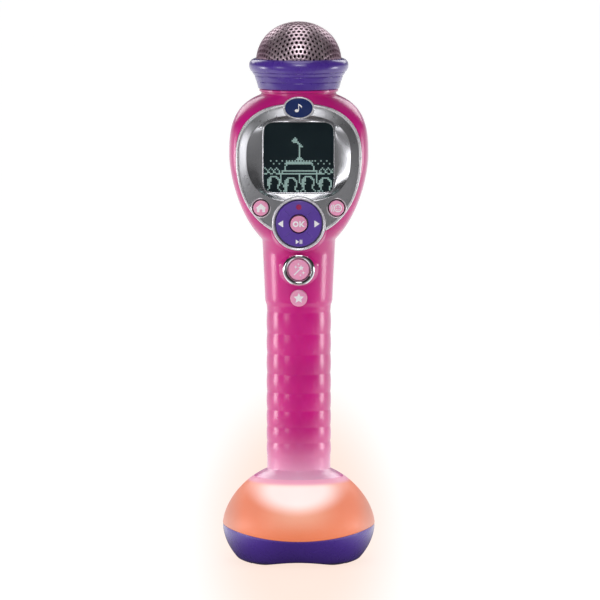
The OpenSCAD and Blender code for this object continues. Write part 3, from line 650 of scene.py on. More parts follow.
def head_upper(z):
    return HEAD_W / MM * max(0.0, 1 - min(1.0, (z - HEAD_MID) / HEAD_UP) ** 2.8) ** (1 / 2.8)


def casing_w(z):
    if z < 180:
        return round_radius(z)
    if z < HEAD_MID:
        return soft_max(handle_r(min(z, HEAD_FOOT)), head_lower(z), 0.5)
    return soft_max(NECK_R, head_upper(z), 0.8) if z > 258 else head_upper(z)


def casing_d(z, deep):
    if z < 176:
        return round_radius(z)
    swell = ease(177, 200, z)
    drop = ease(246, 267, z)
    return (handle_r(min(z, HEAD_FOOT)) * (1 - swell) + deep * swell) * (1 - drop) + NECK_R * drop


def casing_n(z, square):
    return 2 + (square - 2) * ease(178, 198, z) * (1 - ease(250, 266, z))


def section(z, deep, square, inset, steps):
    """Half of the casing's outline at height z, from +X over the depth side to -X."""
    shift = 1.2 * (ease(225, 250, z) - ease(235, 195, z) * ease(184, 192, z)) if inset else 0
    w = casing_w(z + shift) - inset
    d = casing_d(z, deep) - inset
    if z > 268.3:
        lip = ease(268.9, 269.5, z) * 1.15
        w = d = NECK_R + (lip if not inset else -inset)
    n = casing_n(z, square)
    if inset and z < GRIP_TOP:
        w, d = min(w, GRIP_R - WALL), min(d, GRIP_R - WALL)
    points = []
    for i in range(steps + 1):
        a = math.pi * i / steps
        c, s = math.cos(a), math.sin(a)
        # the powers square the outline off
        points.append((w * math.copysign(abs(c) ** (2 / n), c), d * abs(s) ** (2 / n), z))
    return points


def shell_half(side, deep, square, steps=72):
    """Vertices and faces of one closed casing half: side is -1 for the front and 1 for the rear."""
    stretches = (
        (FOOT_Z, 56, 0.4), (56, 146.4, 0.45), (146.4, 150, 0.3), (150, 184, 1.5), (184, 188, 0.4),
        (188, 256, 1.2), (256, 268.4, 0.5),
    )
    heights = [z for low, high, step in stretches for z in np.arange(low, high, step)]
    heights += [268.7, 268.9, 269.05, 269.2, 269.35, 269.5, 270.2, 270.45, NECK_TOP / MM]
    rings = []
    for k, z in enumerate(heights):
        outer = section(z, deep, square, 0, steps)
        if k == len(heights) - 1:
            outer = [(x * 0.985, y * 0.985, z) for x, y, _ in outer]
        inner = section(z, deep, square, WALL, steps)
        rings.append(outer + inner[::-1])
    m = len(rings[0])
    gap = 0.06
    verts = []
    for ring in rings:
        for x, y, z in ring:
            verts.append((x * MM, side * max(y, gap) * MM, z * MM))
    faces = []
    for j in range(len(rings) - 1):
        for i in range(m):
            n = (i + 1) % m
            faces.append([j * m + i, j * m + n, (j + 1) * m + n, (j + 1) * m + i])
    top = (len(rings) - 1) * m
    for i in range(steps):
        faces.append([i, m - 1 - i, m - 2 - i, i + 1])
        faces.append([top + i, top + i + 1, top + m - 2 - i, top + m - 1 - i])
    return verts, faces


# ---------------------------------------------------------------- the bezel's curves

ANGLES = [2 * math.pi * i / 360 for i in range(360)]
BOW_R = 450.0


def bow(x):
    """How far the bezel's front is from the axis at x, in mm."""
    return BEZEL_FRONT / MM - x * x / (2 * BOW_R)


def egg_point(angle, w, up, down, e_top, e_side, e_bottom):
    """The point of an egg-shaped outline in a direction from the head's middle."""
    c, s = abs(math.cos(angle)), math.sin(angle)
    low, high = 0.0, 80.0
    for _ in range(40):
        r = (low + high) / 2
        if s >= 0:
            inside = (r * c / w) ** e_top + (r * s / up) ** e_top < 1
        else:
            inside = (r * c / w) ** e_side + (-r * s / down) ** e_bottom < 1
        low, high = (r, high) if inside else (low, r)
    return low * math.cos(angle), low * s


def bezel_curve(inset, angle):
    up = BEZEL_TOP / MM - HEAD_MID
    return egg_point(angle, BEZEL_W / MM - inset, up - inset, 46 - inset, 2.4, 2, 2.3)


def dish_curve(inset, angle):
    return egg_point(angle, 29.4 - inset, 23.2 - inset, 25.6 - inset, 2.5, 2.6, 2.6)


def screen_curve(grow, angle):
    half = 19.85 + grow
    x, z = egg_point(angle, half, half, half, 9, 9, 9)
    return x, z + SCREEN_Z / MM - HEAD_MID


def bezel_rings():
    """Closed rings from the skirt's back edge over the rim, the flange and the dish to the screen."""
    screen = SCREEN_FRONT / MM
    rings = []

    def add(curve, inset, depth, flat=None):
        ring = []
        for a in ANGLES:
            x, z = curve(inset, a)
            y = flat if flat is not None else bow(x) - depth
            ring.append((x, -y, z + HEAD_MID))
        rings.append(ring)

    add(bezel_curve, 0, 0, 15.6)
    add(bezel_curve, 0, 2.4)
    rim = (
        (0.0, 1.75), (0.1, 1.3), (0.3, 1.0), (0.65, 0.82), (1.05, 0.85), (1.35, 1.05), (1.55, 1.25),
        (1.85, 1.2),
    )
    for inset, depth in rim:
        add(bezel_curve, inset, depth)
    for t in (0.2, 0.4, 0.6, 0.8, 0.96):
        ring = []
        for a in ANGLES:
            x0, z0 = bezel_curve(1.85, a)
            x1, z1 = dish_curve(-0.2, a)
            x, z = x0 + (x1 - x0) * t, z0 + (z1 - z0) * t
            ring.append((x, -(bow(x) - 1.2 + 1.12 * t), z + HEAD_MID))
        rings.append(ring)
    for inset, depth in ((-0.12, 0.07), (0.0, 0.09), (0.1, 0.15)):
        add(dish_curve, inset, depth)
    steps = 18
    for k in range(1, steps + 1):
        t = k / steps
        ring = []
        for a in ANGLES:
            x0, z0 = dish_curve(0.1, a)
            x1, z1 = screen_curve(0.8, a)
            x, z = x0 + (x1 - x0) * t, z0 + (z1 - z0) * t
            y0, y1 = bow(x0) - 0.15, screen + 0.15
            y = y0 + (y1 - y0) * (1 - (1 - t) ** 1.3)
            ring.append((x, -y, z + HEAD_MID))
        rings.append(ring)
    for inset, rise in ((0.65, 0.2), (0.45, 0.38), (0.2, 0.38), (0.05, 0.25), (0.0, 0.02)):
        add(screen_curve, inset, 0, screen + rise)
    # the back: out again to the skirt
    add(screen_curve, 1.6, 0, screen + 0.02)
    add(dish_curve, 1.0, 0, screen + 0.02)
    add(dish_curve, -0.5, 2.3)
    add(bezel_curve, 1.7, 2.3)
    add(bezel_curve, 1.4, 0, 15.6)
    return rings


# ---------------------------------------------------------------- pieces: casing

RING_CUT_R = 15.45 * MM
SCREW_PLACES = [(sign * x, z) for x, z in ((31, 226), (29.5, 251), (14.2, 181)) for sign in (-1, 1)]


def casing_front():
    verts, faces = shell_half(-1, 23.5, 4.5)
    piece = new_piece("front_shell", verts, faces, "pink_shell")
    for root, tip, r1, r2, z in ((17.4, 24.4, 17.8, 15.9, DPAD_Z), (16.8, 20.45, 11.2, 9.3, WAND_Z)):
        profile = rounded([(0, root), (r1, root), (r2, tip), (0, tip)], [0, 0, 0.5, 0], 5)
        boss = lathe("boss", profile, "pink_shell", place=(0, 0, z), facing="Y", segments=128)
        boolean(piece, boss, "UNION")
    opening = [(x * MM, (z + HEAD_MID) * MM) for x, z in (bezel_curve(-0.15, a) for a in ANGLES)]
    cutters = [
        prism(opening, -0.04, -0.012),
        prism(disc(0, DPAD_Z, RING_CUT_R, 128), -0.04, -0.012),
        prism(disc(0, WAND_Z, 7.95 * MM), -0.04, -0.012),
        prism(disc(0, STAR_Z, 4.95 * MM), -0.04, -0.012),
    ]
    cut_all(piece, cutters)
    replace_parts(piece, "front_casing")


def door_prism(grow, name):
    """The battery opening's outline, widened by grow, as a solid."""
    half, tab, low, top, tab_top = 14.7 + grow, 6.5 + grow, 58.9 - grow / 2, 163 + grow, 174 + grow
    corners = mirrored([(half, low), (half, top), (tab, top), (tab, tab_top)])
    return prism(metres(rounded(corners, [1.2, 2, 1, 2, 2, 1, 2, 1.2], 5)), 0.005, 0.03, name)


def casing_rear():
    verts, faces = shell_half(1, 25.0, 2.5)
    piece = new_piece("rear_shell", verts, faces, "pink_shell")
    door = new_piece("door_skin", verts, faces, "pink_shell", "battery_door")
    cutters = [door_prism(0.2, "door_cut"), box_prism(-0.005, 0.005, 0.01, 0.03, 0.1874, 0.1926)]
    for x, z in SCREW_PLACES:
        cutters.append(prism(disc(x * MM, z * MM, 2.9 * MM, 40), 0.005, 0.03))
    cutters.append(prism(disc(0, SCREEN_Z, 1.2 * MM, 24), 0.012, 0.04))
    for ring in (1, 2, 3):
        for k in range(6 * ring):
            a = 2 * math.pi * k / (6 * ring)
            out = 4.4 * ring * MM
            hole = disc(out * math.cos(a), SCREEN_Z + out * math.sin(a), 1.2 * MM, 24)
            cutters.append(prism(hole, 0.012, 0.04))
    cut_all(piece, cutters)
    wells = []
    for x, z in SCREW_PLACES:
        depth = 12.5 if abs(x) > 20 else 13.6
        well = [(1.6, -4.2), (3.7, -4.2), (3.7, -depth), (2.95, -depth), (2.95, -5), (1.6, -5)]
        wells.append(lathe("well", well, "pink_shell", place=(x * MM, 0, z * MM), facing="Y", segments=40))
    join(piece, *wells)
    smooth(piece)
    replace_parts(piece, "rear_casing")
    boolean(door, door_prism(0, "door_keep"), "INTERSECT")
    recess = prism(disc(0, 0.169, 3.0 * MM, 48), 0.0184, 0.04)
    hole = prism(disc(0, 0.169, 1.5 * MM, 32), 0.0, 0.04)
    cut_all(door, [recess, hole])
    tabs = []
    for x in (-7, 3):
        outline = rounded([(x, 56.2), (x + 4, 56.2), (x + 4, 64), (x, 64)], 0.6)
        tab = prism(metres(outline), 0.0126, 0.0144)
        tab.data.materials.append(BY_SLOT["pink_shell"])
        tabs.append(tab)
    join(door, *tabs)
    smooth(door)
    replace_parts(door, "battery_door")


# ---------------------------------------------------------------- pieces: collar and grille


def collar():
    corners = [
        (18.0, 263.5), (18.9, 263.5), (18.9, 270.85), (22.6, 270.85), (23.1, 271.2), (24.0, 274.6),
        (23.75, 275.0), (24.3, 275.3), (25.1, 277.9), (24.85, 278.3), (25.6, 278.6), (26.5, 280.2),
        (26.35, 280.65), (27.2, 280.8),
    ]
    turns = [math.radians(a) for a in range(-35, 76, 10)]
    rim = [(24.9 + 3.4 * math.cos(a), 284.0 + 3.9 * math.sin(a)) for a in turns]
    inside = [(25.1, 288.05), (24.6, 287.7), (24.6, 282.6), (20.8, 282.6), (20.8, 276.2), (18.0, 276.2)]
    radii = [0.2] * len(corners) + [0] * len(rim) + [0.2, 0.2, 0.1, 0.1, 0.1, 0.1]
    outline = rounded(corners + rim + inside, radii, 4)
    piece = lathe("collar_ring", outline, "purple_shell", segments=160, sharp=50)
    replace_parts(piece, "collar")


def grille():
    """Perforated dome: a flat sheet of staggered holes, drawn over a slightly flattened ball."""
    ball_r = 24.4
    centre_z = GRILLE_TOP / MM - 0.955 * ball_r
    pitch, hole, thick = 3.22, 1.0, 0.8
    reach = math.radians(98) * ball_r
    row_gap = pitch * math.sqrt(3) / 2
    rows = int(reach / row_gap) + 2
    turns = [2 * math.pi * k / 12 for k in range(12)]
    verts, faces, found = [], [], {}

    def vertex(u, v, lift):
        key = (round(u, 3), round(v, 3), round(lift, 3))
        if key not in found:
            rho = math.hypot(u, v)
            c = math.cos(rho / ball_r)
            s = math.sin(rho / ball_r) / rho if rho > 1e-6 else 1 / ball_r
            r = (ball_r + lift) * MM
            found[key] = len(verts)
            verts.append((u * s * r, v * s * r, centre_z * MM + r * (c - 0.045 * c ** 3)))
        return found[key]

    def loop(u0, v0, radii, lift):
        return [vertex(u0 + r * math.cos(a), v0 + r * math.sin(a), lift) for r, a in zip(radii, turns)]

    # each hole has a hexagon of the sheet to itself
    hexagon = [pitch / 2 / math.cos((a + math.pi / 6) % (math.pi / 3) - math.pi / 6) for a in turns]
    edge = ((hole + 0.16, 0.0), (hole + 0.04, -0.05), (hole, -0.16), (hole, -thick))
    for j in range(-rows, rows + 1):
        for i in range(-rows, rows + 1):
            u0 = (i + 0.5 * (j % 2)) * pitch
            v0 = j * row_gap
            if math.hypot(u0, v0) > reach - pitch * 0.6:
                continue
            loops = [loop(u0, v0, hexagon, 0.0)]
            loops += [loop(u0, v0, [r] * len(turns), lift) for r, lift in edge]
            loops.append(loop(u0, v0, hexagon, -thick))
            for a, b in zip(loops, loops[1:]):
                for k in range(len(turns)):
                    n = (k + 1) % len(turns)
                    faces.append([a[k], a[n], b[n], b[k]])
    # close the rim of the sheet
    count = {}
    for face in faces:
        for a, b in zip(face, face[1:] + face[:1]):
            pair = (min(a, b), max(a, b))
            count[pair] = count.get(pair, 0) + 1
    by_place = {index: key for key, index in found.items()}
    for (a, b), uses in count.items():
        if uses == 1 and by_place[a][2] == 0.0 and by_place[b][2] == 0.0:
            c = found.get((by_place[a][0], by_place[a][1], -thick))
            d = found.get((by_place[b][0], by_place[b][1], -thick))
            if c is not None and d is not None:
                faces.append([a, b, d, c])
    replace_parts(new_piece("grille_mesh", verts, faces, "grille_metal", sharp=60), "grille")


# ---------------------------------------------------------------- pieces: bezel, badge and screen


def radius_of(curve, inset, angle):
    return math.hypot(*curve(inset, angle))


def bezel():
    rings = bezel_rings()
    piece = skin("bezel_plate", rings, "silver_paint")
    piece.data.materials.append(LAND)
    piece.data.materials.append(RIM)
    for face in piece.data.polygons:
        # a bright outer rim, then the flange as far as the dish
        x, z = face.center.x / MM, face.center.z / MM - HEAD_MID
        a, r = math.atan2(z, x), math.hypot(x, z)
        if face.normal.y < -0.8 and radius_of(dish_curve, -0.1, a) < r < radius_of(bezel_curve, 1.4, a):
            face.material_index = 1
        elif face.normal.y < 0.2 and face.center.y < -0.0185 and r > radius_of(bezel_curve, 1.3, a):
            face.material_index = 2
    badge_hole = [(BADGE_W * MM * math.cos(t), BADGE.z + BADGE_H * MM * math.sin(t)) for t in ANGLES[::3]]
    cutters = [prism(disc(0, DPAD_Z, RING_CUT_R, 128), -0.04, 0), prism(badge_hole, -0.04, -0.0185)]
    for sign in (-1, 1):
        cutters.append(prism(disc(sign * SIDE_X, SIDE_Z, 5.0 * MM, 64), -0.04, 0))
    cut_all(piece, cutters, 50)
    seat = bow(SIDE_X / MM) - 1.0
    ring = [(5.0, -0.9), (5.75, -0.9), (5.7, 0.5), (5.45, 0.78), (5.2, 0.75), (5.0, 0.45)]
    ring = rounded([(r, seat + h) for r, h in ring], 0.2)
    # a black sleeve deep in each side button's well: a dark part put there as painted shade, so the gap
    # round the cap reads dark
    painted_shade_liner = [(4.4, -3.0), (4.98, -3.0), (4.98, 0.1), (4.9, 0.1), (4.9, -1.2), (4.4, -1.2)]
    painted_shade_liner = [(r, seat + h) for r, h in painted_shade_liner]
    for sign, side in ((-1, "left"), (1, "right")):
        place = (sign * SIDE_X, 0, SIDE_Z)
        lathe("side_shade_well_" + side, painted_shade_liner, "black_plastic", place=place, facing="Y", segments=72)
        lathe("side_ring_" + side, ring, "silver_paint", place=place, facing="Y", segments=72, material=RIM)
    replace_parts(piece, "bezel")


def oval(name, outline, slot, material=None):
    """A skin turned on the badge's oval: outline is (inset from the oval, distance from the axis)."""
    columns = []
    for k in range(96):
        t = 2 * math.pi * k / 96
        column = []
        for inset, h in outline:
            x = max(0.0, BADGE_W - inset) * math.cos(t)
            z = max(0.0, BADGE_H - inset * BADGE_H / BADGE_W) * math.sin(t)
            column.append((x, -h, BADGE.z / MM + z))
        columns.append(column)
    return skin(name, columns, slot, material=material, sharp=45)


def badge():
    face = front("badge_rim") / MM
    rim = [(0, -4.6), (0, -0.5), (0.25, -0.1), (0.6, 0), (0.85, -0.15), (0.95, -0.5)]
    rim += [(BADGE_W, -0.8), (BADGE_W, -4.6)]
    rim = rounded([(inset, face + h) for inset, h in rim], [0, 0.2, 0.2, 0.2, 0.1, 0, 0, 0])
    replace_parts(oval("badge_band", rim, "silver_paint", RIM), "badge_rim")
    top = face - 0.15
    crown_face = [(0.98, face - 0.78)]
    for a in range(0, 91, 9):
        t = math.radians(a)
        crown_face.append((0.98 + 7.7 * (1 - math.cos(t)), top - 0.3 + 0.45 * math.sin(t)))
    crown_face.append((8.78, face - 0.78))
    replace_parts(oval("badge_face", crown_face, "badge_blue"), "badge")
    head = ellipse(-1.1, -1.5, 1.15, 0.85)
    stem = [(-0.25, -1.5), (0.1, -1.5), (0.1, 2.3), (-0.25, 2.3)]
    flag = [(0.1, 2.3), (0.1, 1.4), (1.1, 0.8), (1.55, -0.1), (1.8, 0.9), (1.1, 1.7)]
    surface = turned(lambda r: top + 0.15 - 0.008 * r * r)
    icon("badge_note", [head, stem, flag], 0, BADGE.z, surface, "body")


def band(points, half):
    """A stroke of the given half-width along a list of points."""
    pts = [np.array(p, float) for p in points]
    left, right = [], []
    for i, p in enumerate(pts):
        d = pts[min(i + 1, len(pts) - 1)] - pts[max(i - 1, 0)]
        d = d / np.linalg.norm(d)
        n = np.array([-d[1], d[0]])
        left.append(tuple(p + n * half))
        right.append(tuple(p - n * half))
    return left + right[::-1]


def arc(x, z, r, a0, a1, half, steps=10):
    turns = [math.radians(a0 + (a1 - a0) * i / steps) for i in range(steps + 1)]
    return band([(x + r * math.cos(t), z + r * math.sin(t)) for t in turns], half)


def icon(name, outlines, x0, z0, surface, body, material=WHITE_INK, proud=0.05, sunk=0.12):
    """Flat figures in mm, laid on a surface that gives its distance from the axis at (x, z)."""
    bm = bmesh.new()
    for outline in outlines:
        triangles = tessellate_polygon([[Vector((x, z, 0)) for x, z in outline]])
        points = [bm.verts.new((x, 0, z)) for x, z in outline]
        for a, b, c in triangles:
            try:
                bm.faces.new((points[a], points[b], points[c]))
            except ValueError:
                pass
    for _ in range(2):
        longest = [e for e in bm.edges if e.calc_length() > 0.7]
        if longest:
            bmesh.ops.subdivide_edges(bm, edges=longest, cuts=1)
            bmesh.ops.triangulate(bm, faces=bm.faces)
    bmesh.ops.recalc_face_normals(bm, faces=bm.faces)
    for face in bm.faces:
        if face.normal.y > 0:
            face.normal_flip()
    top = list(bm.faces)
    extruded = bmesh.ops.extrude_face_region(bm, geom=top)
    raised = {v for v in extruded["geom"] if isinstance(v, bmesh.types.BMVert)}
    for v in bm.verts:
        depth = surface(v.co.x, v.co.z) + (proud if v in raised else -sunk)
        v.co = Vector((x0 + v.co.x * MM, -depth * MM, z0 + v.co.z * MM))
    bmesh.ops.recalc_face_normals(bm, faces=bm.faces)
    mesh = bpy.data.meshes.new(name)
    bm.to_mesh(mesh)
    bm.free()
    mesh.materials.append(material)
    riding(linked(name, mesh), body, 30)


PIXELS = 48


def picture():
    """Pixels of the screen's picture: a microphone on a stand on a small stage, lights and a crowd."""
    lit = set()

    def dot(x, y):
        if 0 <= x < PIXELS and 0 <= y < PIXELS:
            lit.add((int(x), int(y)))

    def line(x0, y0, x1, y1):
        n = max(abs(x1 - x0), abs(y1 - y0), 1)
        for i in range(int(n) + 1):
            dot(round(x0 + (x1 - x0) * i / n), round(y0 + (y1 - y0) * i / n))

    def circle(cx, cy, r, a0=0, a1=360):
        for a in range(a0, a1, 6):
            dot(round(cx + r * math.cos(math.radians(a))), round(cy + r * math.sin(math.radians(a))))

    # a microphone leaning on its stand
    for x, low, high in ((19, 35, 35), (20, 34, 36), (21, 34, 37), (22, 35, 36)):
        line(x, low, x, high)
    line(22, 34, 25, 31)
    line(23, 34, 26, 31)
    line(24, 23, 24, 31)
    line(23, 23, 25, 23)
    line(22, 22, 26, 22)
    # the stage and its footlights
    line(15, 19, 33, 19)
    line(15, 20, 32, 20)
    for x in range(15, 34, 2):
        dot(x, 21)
    line(15, 18, 13, 14)
    line(33, 18, 35, 14)
    line(12, 14, 36, 14)
    line(9, 12, 39, 12)
    line(12, 13, 10, 12)
    line(36, 13, 38, 12)
    # the hall
    for x in list(range(4, 14, 4)) + list(range(35, 46, 4)):
        dot(x, 21)
        dot(x + 2, 19)
    for x in list(range(0, 11)) + list(range(38, PIXELS)):
        dot(x, 12 + (x // 2) % 2)
        dot(x, 16 - x % 4 if x % 4 < 3 else 15)
    # four heads in front, seen from behind, and raised hands
    for k, middle in enumerate((6, 18, 30, 42)):
        circle(middle, 6 - k % 2, 4, -50, 230)
        circle(middle - 1, 6 - k % 2, 2, 130, 230)
        line(middle - 3, 2 - k % 2, middle - 5, 0)
        line(middle + 3, 2 - k % 2, middle + 5, 0)
    for middle in (12, 25, 37):
        line(middle - 1, 11, middle - 1, 6)
        line(middle, 5, middle + 3, 0)
    return lit


def screen():
    step = 39.0 / PIXELS
    verts, faces = [], []
    back, face = SCREEN_FRONT / MM - 1.12, SCREEN_FRONT / MM - 1.06
    for i, j in sorted(picture()):
        x0 = -19.5 + i * step + 0.04
        z0 = SCREEN_Z / MM - 19.5 + j * step + 0.04
        x1, z1 = x0 + step - 0.08, z0 + step - 0.08
        k = len(verts)
        for y in (back, face):
            verts += [(x * MM, -y * MM, z * MM) for x, z in ((x0, z0), (x1, z0), (x1, z1), (x0, z1))]
        faces += [[k + 4, k + 5, k + 6, k + 7], [k + 3, k + 2, k + 1, k]]
        faces += [[k + a, k + (a + 1) % 4, k + 4 + (a + 1) % 4, k + 4 + a] for a in range(4)]
    new_piece("lcd_picture", verts, faces, "lcd_glass", material=LCD_INK)


# ---------------------------------------------------------------- pieces: buttons


def crown(r_max, top, sag):
    """A crowned face: its distance from the axis at radius r, in mm."""
    return lambda r: top - sag * (r / r_max) ** 2


def turned(face):
    """A crowned face by (x, z) instead of by radius."""
    return lambda x, z: face(math.hypot(x, z))


def cap(name, node, x, z, r, sag, seat, neck):
    """A crowned push-button cap on a stem: seat is the front of its flange, neck the foot of its head."""
    face = crown(r, front(node) / MM, sag)
    low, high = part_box(node)
    flange, stem, back = (high.x - low.x) / 2 / MM, 3.0, -high.y / MM
    outline = [(r * k / 8, face(r * k / 8)) for k in range(8)]
    outline += [(r - 0.35, face(r) + 0.02), (r - 0.1, face(r) - 0.18), (r, face(r) - 0.55), (r, neck)]
    outline += [(stem, neck), (stem, seat), (flange, seat), (flange, seat - 0.8), (stem, seat - 0.8)]
    outline += [(stem, back), (0, back)]
    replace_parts(lathe(name, outline, "pale_pink_cap", node, place=(x, 0, z), facing="Y", sharp=45), node)
    return turned(face)


def star(x, z, r, points=5, waist=0.47):
    """A star's outline with one point up."""
    outline = []
    for k in range(2 * points):
        t = math.pi / 2 + math.pi * k / points
        q = r if k % 2 == 0 else r * waist
        outline.append((x + q * math.cos(t), z + q * math.sin(t)))
    return outline


def rectangle(x0, x1, z0, z1):
    return [(x0, z0), (x1, z0), (x1, z1), (x0, z1)]


def buttons():
    surface = cap("home_cap", "home_button", -SIDE_X, SIDE_Z, 4.3, 0.35, 20.9, 22.2)
    house = mirrored([(0, 2.7), (3.1, -0.1), (2.3, -0.1), (2.3, -2.3), (0.75, -2.3), (0.75, -0.7)])[:-1]
    icon("home_icon", [house], -SIDE_X, SIDE_Z, surface, "home_button")

    surface = cap("voice_cap", "voice_button", SIDE_X, SIDE_Z, 4.3, 0.35, 20.9, 22.2)
    face = [arc(0.75, 0.0, 2.0, 0, 360, 0.3, 36), arc(0.75, 0.1, 1.15, 210, 330, 0.22, 8)]
    face += [ellipse(x, 0.6, 0.3, 0.42, 10) for x in (0.05, 1.45)]
    sound = [arc(0.9, 0.0, 3.1, 140, 220, 0.22, 8), arc(0.9, 0.0, 4.0, 150, 210, 0.22, 8)]
    icon("voice_icon", face + sound, SIDE_X, SIDE_Z, surface, "voice_button")

    surface = cap("ok_cap", "ok_button", 0, DPAD_Z, 4.7, 0.4, 17.2, 22.0)
    leg = [(1.1, 0.15), (2.4, 1.65), (3.45, 1.65), (1.9, -0.05), (3.5, -1.65), (2.45, -1.65), (1.1, -0.4)]
    letters = [arc(-1.75, 0.0, 1.25, 0, 360, 0.42, 32), rectangle(0.3, 1.1, -1.65, 1.65), leg]
    icon("ok_letters", letters, 0, DPAD_Z, surface, "ok_button")

    surface = cap("wand_cap", "wand_button", 0, WAND_Z, 6.0, 0.7, 15.3, 16.0)
    wand = [band([(-2.7, -2.9), (0.6, 0.4)], 0.33), star(1.3, 1.15, 1.75)]
    for x, z, r in ((-1.7, 1.7, 1.15), (2.6, -1.6, 1.2), (-0.2, 3.3, 0.8), (0.9, -3.0, 0.75)):
        wand.append(star(x, z, r, 4, 0.32))
    icon("wand_icon", wand, 0, WAND_Z, surface, "wand_button")

    surface = cap("star_cap", "star_button", 0, STAR_Z, 4.8, 0.5, 15.6, 16.2)
    icon("star_icon", [star(0, 0, 3.1)], 0, STAR_Z, surface, "star_button")


# where the pad's four pins go through the ring's floor, in mm from the pad's middle
PINS = [(10.2 * math.cos(math.pi / 2 * k), 10.2 * math.sin(math.pi / 2 * k)) for k in range(4)]


def direction_pad():
    r, hole, back = 13.2, 5.45, 21.6
    face = crown(r, front("dpad") / MM, 0.9)
    outline = [(hole, back), (hole, face(hole) - 0.35), (hole + 0.15, face(hole) - 0.08)]
    radii = [hole + 0.25 * k for k in range(2, 30)]
    outline += [(q, face(q)) for q in radii if q <= r - 0.75]
    outline += [(r - 0.7, face(r - 0.7)), (r - 0.3, face(r) - 0.12), (r - 0.05, face(r) - 0.5)]
    outline += [(r, face(r) - 1.0), (r, back)]

    def groove(q, a):
        """Four short grooves on the diagonals."""
        if not 6.4 < q < 10.8:
            return 0
        side = math.radians(abs(math.degrees(a) % 90 - 45)) * q
        ends = ease(6.4, 6.9, q) * (1 - ease(10.2, 10.7, q))
        return -0.28 * math.exp(-((side / 0.28) ** 2)) * ends

    piece = lathe("dpad_cap", outline, "purple_shell", "dpad", place=(0, 0, DPAD_Z), facing="Y",
                  segments=480, sharp=45, shape=groove, material=PAD)
    pins = [y_block(-1.2, 1.2, -22.0, -19.3, s * 7.2 - 0.7, s * 7.2 + 0.7) for s in (-1, 1)]
    pin = rounded([(0, 16.6), (1.3, 16.6), (1.3, 22), (0, 22)], [0, 0.3, 0, 0])
    for x, z in PINS:
        place = (x * MM, 0, DPAD_Z + z * MM)
        pins.append(lathe("pin", pin, "purple_shell", "dpad", place=place, facing="Y", segments=24))
    join(piece, *pins)
    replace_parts(piece, "dpad")
    surface = turned(face)
    arrow = [(11.9, 0), (8.8, -2.05), (8.8, 2.05)]
    signs = [rounded([(s * x, z) for x, z in arrow], 0.25) for s in (-1, 1)]
    signs += [[(-1.7, -8.9), (-1.7, -11.5), (0.3, -10.2)]]
    signs += [rectangle(x, x + 0.5, -11.4, -9.0) for x in (0.55, 1.45)]
    icon("dpad_icons", signs, 0, DPAD_Z, surface, "dpad")
    icon("record_dot", [disc(0, 9.5, 1.55, 28)], 0, DPAD_Z, surface, "dpad", RED_INK)


def y_block(x0, x1, y0, y1, z0, z1):
    """A small block about the direction pad's axis, in mm."""
    block = box_prism(x0 * MM, x1 * MM, y0 * MM, y1 * MM, DPAD_Z + z0 * MM, DPAD_Z + z1 * MM)
    block.data.materials.append(BY_SLOT["purple_shell"])
    return block


def button_rings():
    top = front("dpad_ring") / MM
    corners = [
        (13.75, 18.6), (13.75, top - 0.9), (14.05, top - 0.2), (14.55, top), (15.05, top - 0.2),
        (15.3, top - 1.0), (15.3, 17.4), (5.0, 17.4), (5.0, 18.6),
    ]
    outline = rounded(corners, [0, 0.2, 0.3, 0.3, 0.3, 0.2, 0, 0, 0])
    piece = lathe("dpad_band", outline, "silver_paint", place=(0, 0, DPAD_Z), facing="Y", segments=160,
                  material=RIM, sharp=50)
    holes = [prism(disc(x * MM, DPAD_Z + z * MM, 2.2 * MM, 32), -0.04, -0.01) for x, z in PINS]
    cut_all(piece, holes, 50)
    ears = [y_block(s * 7.2 - 0.7, s * 7.2 + 0.7, -20.9, -18.5, -1.2, 1.2) for s in (-1, 1)]
    join(piece, *ears)
    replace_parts(piece, "dpad_ring")
    top = front("wand_ring") / MM
    corners = [
        (7.8, 15.5), (7.8, 20.3), (9.1, 20.3), (9.1, top - 1.0), (8.5, top - 0.25), (7.9, top),
        (7.3, top - 0.1), (6.7, top - 0.5), (6.3, top - 1.1), (6.2, top - 1.6), (6.2, 15.5),
    ]
    outline = rounded(corners, [0, 0, 0, 0.4, 0.8, 0.8, 0.8, 0.8, 0.6, 0.3, 0])
    place = (0, 0, WAND_Z)
    piece = lathe("wand_band", outline, "chrome_plating", place=place, facing="Y", segments=128, sharp=50)
    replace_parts(piece, "wand_ring")


# ---------------------------------------------------------------- pieces: base


def seam_height(y):
    """Height of the bowed seam at depth y, in mm."""
    return SEAM_Z / MM - 163 + math.sqrt(163 ** 2 - y * y)


def base_r(z):
    return base_cover_r(z) if z < 22.4 else base_dome_r(z)


def seam_at(angle):
    """Height at which the seam crosses a direction round the base."""
    z = 20.0
    for _ in range(12):
        z = seam_height(base_r(z) * math.sin(angle))
    return z


def directions(count):
    """Cosine, sine and angle of evenly spread directions round the base."""
    return [(math.cos(a), math.sin(a), a) for a in (2 * math.pi * k / count for k in range(count))]


def dome():
    columns, wall = [], 2.2
    top = FOOT_Z - 0.08
    for c, s, a in directions(144):
        low = seam_at(a) + 0.08
        heights = [low + (top - low) * (i / 40) for i in range(41)]
        column = [(base_r(z) - (0.25 if i == 0 else 0), z) for i, z in enumerate(heights)]
        column += [(18.2, top), (18.2, top - 3.4)]
        column += [(base_r(min(z + 1.4, 52)) - wall, z) for z in np.linspace(46.0, low, 30)]
        columns.append([(r * c, r * s, z) for r, z in column])
    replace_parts(skin("lit_dome", columns, "glow_dome"), "base_dome")


def arch_height(x):
    """Height of the arch in the underside at x, in mm. It is below the floor beside the arch."""
    high, half = 3.2, 20.0
    radius = (half * half + high * high) / (2 * high)
    return high - radius + math.sqrt(radius * radius - x * x)


